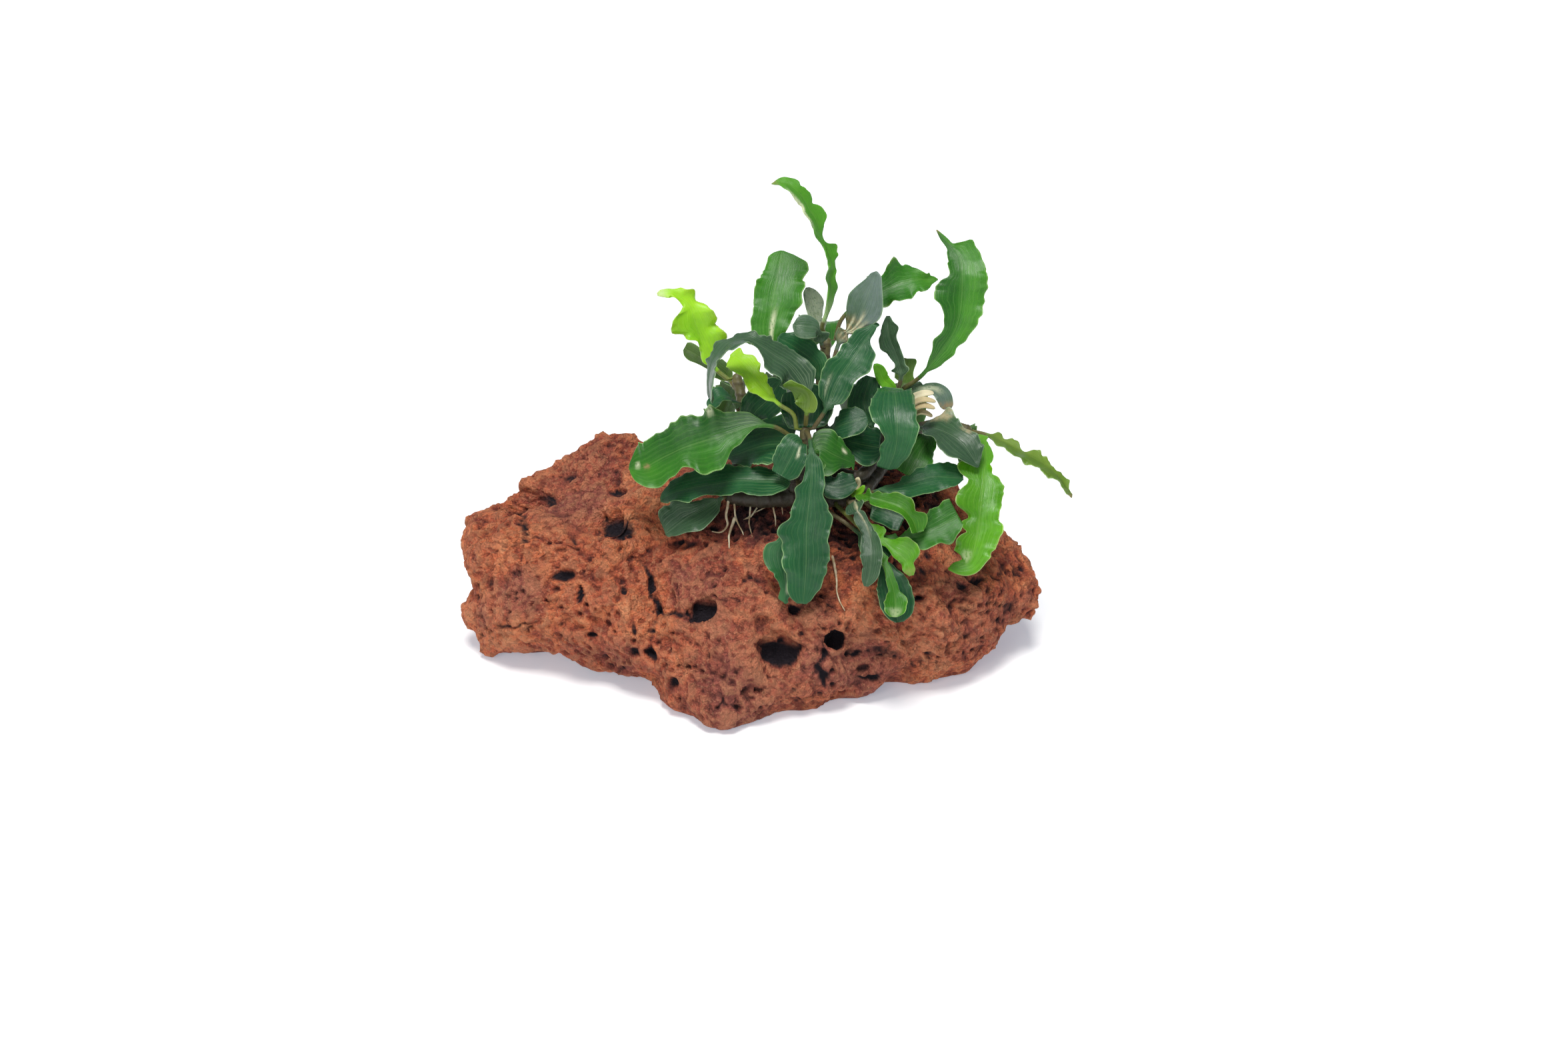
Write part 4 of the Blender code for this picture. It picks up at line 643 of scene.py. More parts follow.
# Rhizome and shoots
# A creeping woody stem, four millimetres thick, lies along the top of the stone, and five short
# shoots rise from it. They grew as one, ringed by the scars of leaves that have gone.
RHIZOME_RADIUS = 2.1
SHOOT_RADIUS = 1.6
RHIZOME_TIP_SHARE = 0.9
SHOOT_TIP_SHARE = 0.75
SHOOT_FOOT = 2.5
JOIN_GAP = 0.4
PATH_STEPS = 24
AXIS_POINTS = 60
END_SHARE = 0.985
STEM_RINGS = 110
STEM_SIDES = 22
STEM_START = 0.8
ROUND_END = 1.2
SCAR_SPACING = 2.6
SCAR_WIDTH = 0.32
SCAR_HEIGHT = 0.17
SCAR_TILT = 0.35
RHIZOME_MARKS = [
    (1088, 742, 12), (1140, 748, 14.2), (1200, 746, 14.8), (1250, 748, 14.5), (1290, 746, 13.5),
]
# Each shoot: the share of the rhizome's length where it leaves it, then marks up its middle
SHOOTS = {
    "stem_front": (0.53, [(1199, 715, 17), (1206, 675, 18), (1208, 640, 19)]),
    "stem_top": (0.66, [(1238, 715, 13), (1234, 660, 9), (1233, 580, 8), (1240, 505, 8)]),
    "stem_right": (0.84, [(1290, 715, 13), (1318, 670, 7), (1338, 620, 5), (1352, 582, 5)]),
    "stem_far_right": (1.0, [(1310, 719, 8), (1343, 676, 1), (1385, 641, -2), (1425, 638, -2),
                             (1458, 648, -2)]),
    "stem_left": (0.10, [(1108, 715, 8), (1112, 660, 4), (1112, 600, 2), (1104, 560, 1)]),
}


def smooth_path(points, count):
    """Evenly spaced points along the smooth curve through the points, and its length.

    The curve is a Catmull-Rom one, whose knots are as far apart as the roots of the runs between points.
    """
    marks = np.asarray(points, float)
    marks = np.vstack([2 * marks[0] - marks[1], marks, 2 * marks[-1] - marks[-2]])
    fine = []
    for first in range(len(marks) - 3):
        p = marks[first:first + 4]
        knots = np.concatenate([[0], np.cumsum(np.linalg.norm(np.diff(p, axis=0), axis=1) ** 0.5)])
        t = np.linspace(knots[1], knots[2], PATH_STEPS, endpoint=False)[:, None]

        def between(a, b, left, right):
            return ((knots[right] - t) * a + (t - knots[left]) * b) / (knots[right] - knots[left])

        a1 = between(p[0], p[1], 0, 1)
        a2 = between(p[1], p[2], 1, 2)
        a3 = between(p[2], p[3], 2, 3)
        fine.append(between(between(a1, a2, 0, 2), between(a2, a3, 1, 3), 1, 2))
    fine = np.vstack(fine + [marks[-2][None]])
    run = np.concatenate([[0], np.cumsum(np.linalg.norm(np.diff(fine, axis=0), axis=1))])
    want = np.linspace(0, run[-1], count)
    path = np.stack([np.interp(want, run, fine[:, axis]) for axis in range(3)], axis=1)
    return path, run[-1]


def leaving_point(axis, share, target, off):
    """A point a way off a stem's middle, on the side where something bound for a target leaves it."""
    here = int(round(share * (len(axis) - 1)))
    along = unit(axis[min(here + 1, len(axis) - 1)] - axis[max(here - 1, 0)])
    way = target - axis[here]
    if share < END_SHARE:
        way = way - (way @ along) * along
    way = unit(way)
    return axis[here] + way * off, way


def stem_path(name, count, sunk=0.0):
    """Points down the middle of the rhizome, or of a shoot, which may start sunk into the rhizome."""
    if name == "rhizome":
        return smooth_path([seen(*mark) for mark in RHIZOME_MARKS], count)[0]
    share, marks = SHOOTS[name]
    points = [seen(*mark) for mark in marks]
    rhizome = stem_path("rhizome", AXIS_POINTS)
    start, way = leaving_point(rhizome, share, points[0], RHIZOME_RADIUS + JOIN_GAP)
    return smooth_path([start - sunk * way, start + SHOOT_FOOT * way] + points, count)[0]


def skin_over(rings, first_pole, last_pole):
    """Points and triangles of a closed skin over a stack of rings, drawn to a pole at each end."""
    count, sides = rings.shape[:2]
    points = np.vstack([first_pole, rings.reshape(-1, 3), last_pole])
    grid = 1 + np.arange(count * sides).reshape(count, sides)
    beyond = np.roll(grid, -1, axis=1)
    quads = np.stack([grid[:-1], beyond[:-1], beyond[1:], grid[1:]], axis=-1).reshape(-1, 4)
    first = np.stack([np.zeros(sides, int), beyond[0], grid[0]], axis=-1)
    last = np.stack([grid[-1], beyond[-1], np.full(sides, len(points) - 1)], axis=-1)
    triangles = np.vstack([quads[:, [0, 1, 2]], quads[:, [0, 2, 3]], first, last])
    return points, triangles


def tube_rings(path, radii, sides):
    """Rings about a path: at each of its points a circle of that point's radius, square to the path."""
    along = unit(np.gradient(path, axis=0))
    guide = np.eye(3)[np.argmin(np.abs(along).max(0))]
    aside = unit(np.cross(along, guide))
    over = np.cross(along, aside)
    turn = np.linspace(0.0, 2.0 * np.pi, sides, endpoint=False)
    circle = aside[:, None] * np.cos(turn)[:, None] + over[:, None] * np.sin(turn)[:, None]
    return path[:, None] + circle * radii[..., None]


# Colours of the bark, old and young, each from dark to bright, and of the scars on it. The old bark,
# near black at the foot of the shoots and on the rhizome, is partly its own colour and partly painted
# shade.
FOOT_BARK_WITH_PAINTED_SHADE = ((0.012, 0.012, 0.008), (0.050, 0.040, 0.020))
YOUNG_BARK = ((0.050, 0.060, 0.018), (0.200, 0.165, 0.070))
SCAR_COLOUR = (0.035, 0.022, 0.015)


def stem_finish():
    """Brown bark with a green cast, darker in the scars, paler and greener towards the crown; near black
    at the foot, partly painted shade.
    """
    material, tree, shader = new_finish("stem_bark", Specular_IOR_Level=0.4)
    where = object_place(tree)
    mottle = noise(tree, where, 420.0, 5.0)
    # Near-black old bark at the foot and on the rhizome: partly its own colour, partly painted shade
    old, young = (blend_colours(tree, mottle, *colours) for colours in (FOOT_BARK_WITH_PAINTED_SHADE, YOUNG_BARK))
    colour = blend_colours(tree, rise(tree, painted(tree, "along"), 0.45, 1.0), old, young)
    scar = times(tree, painted(tree, "scar"), 0.6)
    colour = blend_colours(tree, scar, colour, SCAR_COLOUR)
    roughness = rise(tree, mottle, 0.3, 0.7, 0.36, 0.62)
    finish_sockets(tree, shader, colour, roughness, noise(tree, where, 1500.0), 0.4, 0.0004)
    return material


STEM_BARK = stem_finish()


def make_stem(name):
    """A round stem, ringed by leaf scars: the radius thins towards the tip and swells at each ring.

    The swelling is a narrow bell every scar spacing along the stem, tilted a little to one side. Near
    both ends the radius follows a quarter circle down to a seventh.
    """
    on_stone = name == "rhizome"
    full, thin = (RHIZOME_RADIUS, RHIZOME_TIP_SHARE) if on_stone else (SHOOT_RADIUS, SHOOT_TIP_SHARE)
    path = stem_path(name, STEM_RINGS, 0.0 if on_stone else JOIN_GAP + STEM_START)
    run = np.concatenate([[0], np.cumsum(np.linalg.norm(np.diff(path, axis=0), axis=1))])
    share = run / run[-1]
    turn = np.linspace(0.0, 2.0 * np.pi, STEM_SIDES, endpoint=False)
    tilted = run[:, None] + SCAR_TILT * np.cos(turn + 1.0)
    phase = (tilted / SCAR_SPACING + 0.5) % 1.0 - 0.5
    scar = np.exp(-(phase * SCAR_SPACING / SCAR_WIDTH) ** 2)
    radii = full * (1.0 + (thin - 1.0) * share)[:, None] * np.ones(STEM_SIDES) - 0.08 + SCAR_HEIGHT * scar
    radii = radii * (1.0 + 0.06 * soft_noise(tube_rings(path, radii, STEM_SIDES), 1.8, 5))
    from_end = np.clip(np.minimum(run, run[-1] - run) / ROUND_END, 0.0, 1.0)
    ends = np.sqrt(np.clip(1.0 - (1.0 - from_end) ** 2, 0.02, 1.0))
    rings = tube_rings(path, radii * ends[:, None], STEM_SIDES)
    points, faces = skin_over(rings, path[0], path[-1])
    piece = make_mesh(name + "_bark", points, faces)
    paint(piece, "along", np.concatenate([[0], np.repeat(share, STEM_SIDES), [1]]) * (not on_stone))
    paint(piece, "scar", np.concatenate([[0], scar.ravel(), [0]]))
    piece.data.materials.append(STEM_BARK)
    place(piece, name, "stem")


make_stem("rhizome")
for shoot in SHOOTS:
    make_stem(shoot)

# Leaves of the front shoot
# Leathery blades on short stalks, each grown from the shoot at its own height. A blade is a third of
# a millimetre thick, with a channelled midrib, veins that meet at the tip, and a waved margin.
BLADE_THICKNESS = 0.36
STALK_THICKNESS = 1.05
STALK_HALF_WIDTH = 0.5
ROOTED_SHARE = 0.4
ROOTED_RINGS = 4
RING_SPACING = 0.42
LEAST_RINGS = 12
BLADE_POINTS = 19
NARROWEST_BLADE = 0.6
MIDRIB_WIDTH = 0.45
MIDRIB_GROOVE = 0.14
MIDRIB_KEEL = 0.34
VEIN_COUNT = 5
VEIN_DEPTH = 0.018
WRINKLE_HEIGHT = 0.15
WRINKLE_SIZE = 3.4
EDGE_STEPS = 5
MOST_REACH = 0.65
# How uneven the waves are, in cells of noise a wave, and the ruffles of the margin: how many cells of
# noise a millimetre and how high, beside the leaf's own ruffle
WAVE_CELLS = 1.7
RUFFLES = [(0.30, 1.6), (0.62, 0.9)]
RUFFLE_LIFT = 2.4


@dataclass
class Leaf:
    """One leaf: where it leaves its stem, its width, how its blade lies, its looks and its midrib.

    The face gives the way the upper side looks at the base and at the tip, as shares across, up
    and toward the viewer. Lie is the fold of the blade in degrees, the height of its waves in
    millimetres and how many it has. Shape is the share of the length before the blade opens, then
    a power for its base and one for its tip: small ones are blunt, large ones drawn out. The edge
    is the blade's outline in the picture, which goes before the powers. Hand 1 is the right side
    when looking along the leaf from its stalk. Tones run from -1, deep, to 1, bright: of the whole,
    added at the tip, and added on the right side. A stem is named only where it isn't the one that
    the leaf's group grows from. A spot is (share, across, length, breadth, dryness, paleness).
    """
    name: str
    at: float
    width: float
    face: tuple
    lie: tuple
    shape: tuple
    finish: str = "leaf_dark"
    ruffle: float = 0.22
    tone: tuple = (0.0, 0.0, 0.0)
    stem: str = ""
    midrib: tuple = ()
    edge: tuple = ()
    # Pale spots on some leaves are painted highlights: glints and streaks of gloss
    spots: tuple = ()


FRONT_LEAVES = [
    Leaf("leaf_left_broad", 0.8, 14, ((0, 0.5, 1), (-0.2, 0.4, 1)), (10, 0.9, 3.5), (0.15, 0.7, 0.38),
         "leaf_mid", ruffle=0.2, tone=(-0.55, 0.45, -0.3),
         midrib=[(1160, 640, 20), (1120, 641, 21), (1080, 655, 21.5), (1040, 667, 20.5), (1000, 684, 19),
                 (965, 702, 17), (943, 704, 15)],
         edge=[(1160, 633), (1148, 626), (1130, 619), (1110, 617), (1085, 618), (1067, 613), (1050, 619),
               (1030, 624), (1010, 635), (1002, 645), (990, 648), (978, 652), (964, 662), (952, 677),
               (943, 697), (950, 716), (962, 728), (972, 731), (983, 731), (993, 727), (1004, 719),
               (1014, 716), (1021, 711), (1025, 703), (1040, 702), (1046, 708), (1055, 711), (1068, 713),
               (1078, 712), (1085, 706), (1091, 690), (1098, 672), (1111, 664), (1117, 657), (1125, 650),
               (1133, 644), (1150, 645), (1165, 646)],
         # The first spot is a painted highlight, a glint near the tip
         spots=[(0.93, 0.1, 0.02, 0.09, 0, 1), (0.86, -0.05, 0.022, 0.1, 0.9, 0),
                (0.36, 0.85, 0.03, 0.1, 0, 0.6)]),
    Leaf("leaf_front_long", 0.93, 12.4, ((0, 0.4, 1), (0, 0.2, 1)), (8, 0.7, 4), (0.1, 0.9, 0.45),
         tone=(-0.2, 0.15, 0.05),
         midrib=[(1214, 655, 23), (1217, 680, 26), (1216, 730, 28), (1210, 790, 28), (1209, 850, 27.5),
                 (1205, 906, 26)],
         edge=[(1211, 680), (1208, 695), (1205, 712), (1202, 726), (1193, 732), (1193, 748), (1188, 762),
               (1186, 775), (1178, 783), (1167, 788), (1166, 800), (1172, 812), (1170, 822), (1174, 830),
               (1171, 843), (1176, 856), (1180, 875), (1183, 892), (1192, 903), (1205, 907), (1215, 903),
               (1222, 893), (1230, 884), (1235, 872), (1241, 860), (1241, 849), (1245, 836), (1246, 820),
               (1242, 813), (1243, 806), (1248, 790), (1248, 776), (1242, 767), (1242, 758), (1236, 742),
               (1238, 722), (1237, 705), (1232, 691), (1222, 678)]),
    Leaf("leaf_young_olive", 1, 6.5, ((-0.4, 0, 1), (-0.2, -0.8, 0.6)), (25, 0.3, 2), (0.15, 0.5, 0.45),
         "leaf_olive", tone=(0.3, -0.5, 0.2),
         midrib=[(1210, 620, 22), (1214, 600, 23.5), (1206, 584, 24), (1174, 578, 23)],
         edge=[(1200, 622), (1196, 608), (1189, 593), (1181, 584), (1174, 578), (1184, 573), (1197, 574),
               (1210, 580), (1221, 592), (1226, 608), (1218, 622)]),
    Leaf("leaf_lime_inner", 0.97, 7.2, ((0.4, 0.4, 1), (0.3, 0.6, 1)), (10, 0.5, 2.5), (0.3, 0.8, 0.5),
         "leaf_lime", tone=(1.9, -0.6, 0),
         midrib=[(1190, 622, 20.5), (1168, 606, 20.2), (1150, 588, 19), (1135, 570, 17.5), (1122, 552, 16),
                 (1108, 538, 14), (1095, 533, 13)],
         edge=[(1165, 600), (1160, 585), (1152, 570), (1143, 553), (1138, 542), (1129, 532), (1120, 533),
               (1112, 524), (1104, 524), (1092, 543), (1087, 555), (1088, 563), (1098, 562), (1110, 564),
               (1118, 577), (1128, 588), (1143, 598), (1155, 604)]),
    Leaf("leaf_arch_grey", 0.99, 9.5, ((-0.2, 0.9, 0.6), (-1, 0.3, 0.4)), (12, 0.4, 3), (0.1, 0.6, 0.6),
         "leaf_grey", tone=(-0.45, 0.6, 0),
         midrib=[(1213, 594, 19.5), (1205, 575, 19.5), (1190, 553, 20), (1165, 535, 21), (1145, 522, 22),
                 (1120, 509, 23), (1095, 513, 24), (1078, 530, 24), (1068, 550, 23.5), (1063, 570, 23),
                 (1068, 600, 21)],
         edge=[(1229, 585), (1229, 562), (1212, 540), (1190, 522), (1165, 511), (1145, 505), (1125, 498),
               (1108, 499), (1092, 505), (1078, 515), (1066, 530), (1058, 545), (1056, 560), (1060, 580),
               (1062, 592), (1067, 605), (1075, 600), (1078, 585), (1084, 570), (1088, 552), (1095, 535),
               (1107, 520), (1120, 517), (1135, 524), (1143, 540), (1152, 558), (1165, 575), (1180, 588),
               (1200, 598)],
         # The pale spot is a painted sheen, a silvery streak on the blade
         spots=[(0.38, 0.25, 0.12, 0.05, 0, 0.6)]),
    Leaf("leaf_centre_gloss", 0.96, 11.5, ((0.1, 0.3, 1), (-0.1, 0.2, 1)), (10, 0.6, 3), (0.15, 0.6, 0.55),
         tone=(-0.3, 0.3, 0),
         midrib=[(1240, 612, 17.5), (1256, 575, 16.5), (1282, 535, 15.3), (1317, 485, 13.5)],
         edge=[(1228, 602), (1228, 582), (1231, 560), (1238, 545), (1255, 531), (1263, 519), (1271, 512),
               (1280, 497), (1298, 490), (1312, 486), (1315, 492), (1306, 509), (1308, 522), (1315, 533),
               (1309, 545), (1305, 557), (1290, 566), (1282, 575), (1274, 593), (1260, 608)],
         # Both spots are painted highlights: streaks of gloss along the veins
         spots=[(0.25, -0.45, 0.1, 0.05, 0, 0.7), (0.38, 0.1, 0.12, 0.05, 0, 0.6)]),
    Leaf("leaf_under_left", 0.45, 9.5, ((0, 0.9, 0.8), (-0.1, 0.7, 0.9)), (10, 0.6, 4), (0.1, 0.6, 0.5),
         tone=(-0.1, 0.1, 0),
         midrib=[(1180, 722, 19.5), (1150, 722, 19.5), (1110, 722, 18.8), (1070, 727, 17.5),
                 (1035, 733, 16), (1005, 742, 14.5), (991, 752, 13)],
         edge=[(1194, 706), (1150, 702), (1110, 700), (1070, 702), (1035, 708), (1008, 720), (995, 735),
               (990, 752), (1000, 755), (1012, 753), (1035, 751), (1060, 747), (1090, 742), (1120, 742),
               (1150, 743), (1196, 744)],
         # The spot is a painted highlight, a pale streak of gloss
         spots=[(0.25, 0.1, 0.14, 0.06, 0, 0.5)]),
    Leaf("leaf_low_left", 0.02, 8.5, ((-0.2, 0.5, 1), (-0.2, 0.5, 1)), (8, 0.4, 2), (0.05, 0.7, 0.42),
         # The grey finish gives this dark leaf a painted sheen, its bluish reflection
         "leaf_grey", tone=(-0.3, 0.3, 0), stem="rhizome",
         midrib=[(1085, 746, 15), (1060, 760, 15), (1030, 777, 14.5), (998, 802, 13.5)],
         edge=[(1060, 748), (1035, 753), (1012, 750), (997, 758), (988, 768), (986, 775), (992, 786),
               (997, 797), (1005, 804), (1018, 803), (1030, 800), (1045, 797), (1055, 793), (1065, 785),
               (1075, 775), (1083, 762), (1092, 748)]),
    Leaf("leaf_inner_left", 0.68, 13, ((0, 0.8, 0.8), (0, 0.8, 0.8)), (10, 0.5, 3), (0.03, 0.5, 0.5),
         tone=(-0.2, 0, 0),
         midrib=[(1180, 668, 16), (1150, 668, 13.2), (1092, 686, 10)],
         edge=[(1194, 628), (1176, 615), (1154, 620), (1138, 632), (1114, 642), (1096, 668), (1100, 697),
               (1150, 698), (1170, 704), (1196, 706)]),
    Leaf("leaf_front_right", 0.62, 9.5, ((0.2, 0.5, 1), (0.3, 0.4, 1)), (8, 0.4, 2), (0.02, 0.6, 0.5),
         "leaf_mid", tone=(-0.6, 0, 0),
         midrib=[(1228, 672, 18.5), (1250, 682, 18), (1282, 697, 15)],
         edge=[(1212, 657), (1224, 647), (1240, 643), (1256, 650), (1268, 665), (1280, 685), (1275, 700),
               (1262, 703), (1250, 710), (1240, 718), (1222, 690)],
         spots=[(0.68, -0.5, 0.07, 0.12, 0, 0.9)]),
    Leaf("leaf_front_behind", 0.22, 8, ((0, 0.3, 1), (-0.2, 0.2, 1)), (8, 0.5, 3), (0.2, 0.8, 0.42),
         tone=(0, 0.2, 0.2),
         midrib=[(1202, 745, 21.5), (1191, 785, 23.5), (1176, 830, 24.5), (1178, 870, 24.5),
                 (1177, 906, 24)],
         edge=[(1190, 775), (1175, 800), (1160, 812), (1148, 817), (1143, 830), (1147, 845), (1155, 855),
               (1163, 863), (1168, 872), (1170, 888), (1167, 896), (1172, 906), (1188, 890), (1190, 870),
               (1190, 840), (1196, 810), (1200, 785)],
         spots=[(0.85, -0.4, 0.05, 0.3, 0, 0.4)]),
    Leaf("leaf_shade_mid", 0.58, 9, ((0, 0.5, 1), (0, 0.5, 1)), (8, 0.3, 2), (0.12, 0.7, 0.5),
         tone=(-0.6, 0, 0),
         midrib=[(1240, 660, 13), (1268, 662, 12.2), (1296, 668, 11.8), (1320, 672, 11)],
         edge=[(1250, 650), (1275, 645), (1295, 640), (1310, 640), (1320, 645), (1324, 660), (1318, 688),
               (1310, 697), (1295, 699), (1283, 692), (1272, 682), (1258, 672)]),
    Leaf("leaf_shade_root", 0.25, 7, ((0, 0.4, 1), (0, 0.4, 1)), (8, 0.3, 2), (0.15, 0.6, 0.5),
         tone=(-0.5, 0, 0),
         midrib=[(1232, 728, 19.5), (1258, 732, 20), (1284, 724, 19)],
         edge=[(1236, 716), (1260, 710), (1280, 712), (1288, 720), (1284, 733), (1274, 743), (1258, 750),
               (1236, 744)]),
    Leaf("leaf_front_small", 0.74, 7, ((-0.1, 0.3, 1), (-0.2, 0.3, 1)), (10, 0.3, 2), (0.02, 0.5, 0.5),
         tone=(-0.2, 0, 0),
         midrib=[(1198, 664, 22), (1187, 686, 23), (1172, 714, 22.5)],
         edge=[(1209, 668), (1211, 685), (1206, 702), (1194, 718), (1168, 720), (1158, 708), (1159, 690),
               (1170, 664), (1188, 650)],
         # The spots are painted highlights, pale streaks of gloss
         spots=[(0.4, -0.35, 0.12, 0.04, 0, 0.7), (0.5, 0.3, 0.12, 0.03, 0, 0.6),
                (0.62, -0.1, 0.1, 0.03, 0, 0.5)]),
    Leaf("leaf_shade_olive", 0.88, 12, ((0, 0.4, 1), (0, 0.2, 1)), (8, 0.3, 2), (0.08, 0.5, 0.5),
         tone=(-0.5, 0, 0),
         midrib=[(1206, 640, 14.5), (1206, 615, 14), (1197, 584, 14.5)],
         edge=[(1190, 652), (1178, 636), (1172, 615), (1174, 592), (1216, 576), (1240, 584), (1249, 600),
               (1248, 622), (1228, 648)]),
]


def edge_reach(edge, spine, ways, plain, most):
    """How far a blade reaches from each midrib point along its way, to where that crosses the edge.

    Both are taken as they show in the picture, so a blade seen at a slant comes out wider. Each
    reach is the least positive u that solves start + u * way = corner + v * run for v from 0 to 1.
    Where no run is crossed the plain reach stands. The reaches are then smoothed over three points.
    """
    outline = smooth_path([(x, y, 0.0) for x, y in (*edge, edge[0])], EDGE_STEPS * len(edge))[0][:, :2]
    starts = in_picture(spine)
    steps = in_picture(spine + ways) - starts
    corners, runs = outline[:-1], np.diff(outline, axis=0)
    apart = corners[None] - starts[:, None]
    slant = steps[:, None, 0] * runs[None, :, 1] - steps[:, None, 1] * runs[None, :, 0]
    slant = np.where(np.abs(slant) < 1e-9, 1e-9, slant)
    reach = (apart[..., 0] * runs[None, :, 1] - apart[..., 1] * runs[None, :, 0]) / slant
    run = (apart[..., 0] * steps[:, None, 1] - apart[..., 1] * steps[:, None, 0]) / slant
    reach[(run < 0.0) | (run > 1.0) | (reach <= 0.0)] = np.inf
    reach = reach.min(1)
    reach = np.where(np.isfinite(reach), np.minimum(reach, most), plain)
    padded = np.pad(reach, 1, mode="edge")
    return 0.25 * padded[:-2] + 0.5 * padded[1:-1] + 0.25 * padded[2:]


def leaf_spine(leaf, stem):
    """The midrib from inside the stem to the tip, with each point's share of the length and its ways.

    The upper way is the face, blended from base to tip and squared to the midrib, and the side way is
    square to both. The part inside the stem has the share 0 and the ways of the leaf's first point.
    """
    radius = RHIZOME_RADIUS if stem == "rhizome" else SHOOT_RADIUS
    axis = stem_path(stem, AXIS_POINTS)
    midrib = [seen(*mark) for mark in leaf.midrib]
    start, _ = leaving_point(axis, leaf.at, midrib[0], radius + JOIN_GAP)
    sunk, _ = leaving_point(axis, leaf.at, midrib[0], ROOTED_SHARE * radius)
    length = smooth_path([start] + midrib, 2)[1]
    spine, _ = smooth_path([start] + midrib, int(length / RING_SPACING) + LEAST_RINGS)
    share = np.linspace(0.0, 1.0, len(spine))
    along = unit(np.gradient(spine, axis=0))
    face = np.outer(1 - share, leaf.face[0]) + np.outer(share, leaf.face[1])
    face = face @ np.array([ACROSS, UPWARD, TOWARD])
    upper = unit(face - (face * along).sum(1, keepdims=True) * along)
    side = np.cross(along, upper)
    root = np.linspace(sunk, start, ROOTED_RINGS, endpoint=False)
    spine, share = np.vstack([root, spine]), np.concatenate([np.zeros(len(root)), share])
    upper, side = (np.vstack([np.repeat(way[:1], len(root), axis=0), way]) for way in (upper, side))
    return spine, share, length, upper, side


def half_widths(leaf, spine, blade, fold, upper, side):
    """How far the blade reaches to its left, hand -1, and to its right, hand 1, at each midrib point.

    It is x to the base power times (1 - x) to the tip power, scaled to the leaf's width, and where the
    leaf has an edge, it is read off that.
    """
    _, base, tip = leaf.shape
    peak = base / (base + tip)
    fullest = peak ** base * (1 - peak) ** tip
    plain = leaf.width / 2 * blade ** base * (1 - blade) ** tip / fullest
    reaches = {-1: plain, 1: plain}
    if leaf.edge:
        for hand in reaches:
            ways = (hand * np.cos(fold))[:, None] * side + np.sin(fold)[:, None] * upper
            reaches[hand] = edge_reach(leaf.edge, spine, ways, plain, MOST_REACH * leaf.width)
            reaches[hand] *= np.clip(8 * blade, 0, 1)
    return reaches


def leaf_skin(out, aside, under, blade, plain, least, open_share):
    """How far the skin stands off the leaf's middle: up where it is the upper one, down under it.

    On the blade it is half the thickness, rounded off at the margin, with a ripple for each vein, a
    groove down the midrib above and a keel below. On the stalk it is half an ellipse. The one runs
    smoothly into the other where the blade opens.
    """
    rib = np.exp(-(out / MIDRIB_WIDTH) ** 2)
    vein = VEIN_DEPTH * np.cos(2 * np.pi * VEIN_COUNT * aside) * np.clip(2 - 2.2 * aside, 0, 1)
    half = 0.5 * BLADE_THICKNESS * np.sqrt(np.clip(1 - aside ** 6, 0, 1))
    blade_skin = np.where(under > 0, -half - MIDRIB_KEEL * rib, half - MIDRIB_GROOVE * rib)
    blade_skin = blade_skin + vein * open_share[:, None]
    half = 0.5 * STALK_THICKNESS * np.sqrt(1 - np.minimum(aside, 1) ** 2)
    stalk_skin = np.where(under > 0, -half, half) * np.minimum(1.0, least / STALK_HALF_WIDTH)[:, None]
    opened = np.clip((plain - NARROWEST_BLADE) / 1.2, 0, 1) * np.clip(6 * blade, 0, 1)
    opened = (opened * opened * (3 - 2 * opened))[:, None]
    return opened * blade_skin + (1 - opened) * stalk_skin


def leaf_looks(leaf, run, blade, t):
    """The tone, the dryness and the paleness of each point of a leaf.

    A spot is e to the power of minus the fourth powers of the distances from its middle, along the
    blade and across it, counted in its length and breadth.
    """
    whole, at_tip, at_right = leaf.tone
    tone = whole + at_tip * blade[:, None] ** 2 + at_right * np.clip(3 * t, -1, 1)
    dry, pale = np.zeros_like(tone), np.zeros_like(tone)
    for where, across, long, broad, dryness, paleness in leaf.spots:
        bell = np.exp(-((run[:, None] - where) / long) ** 4 - ((t - across) / broad) ** 4)
        dry += dryness * bell
        # Paleness is partly the leaf's own pale marks and partly painted highlights
        pale += paleness * bell
    return np.stack([tone, dry, pale], axis=-1)


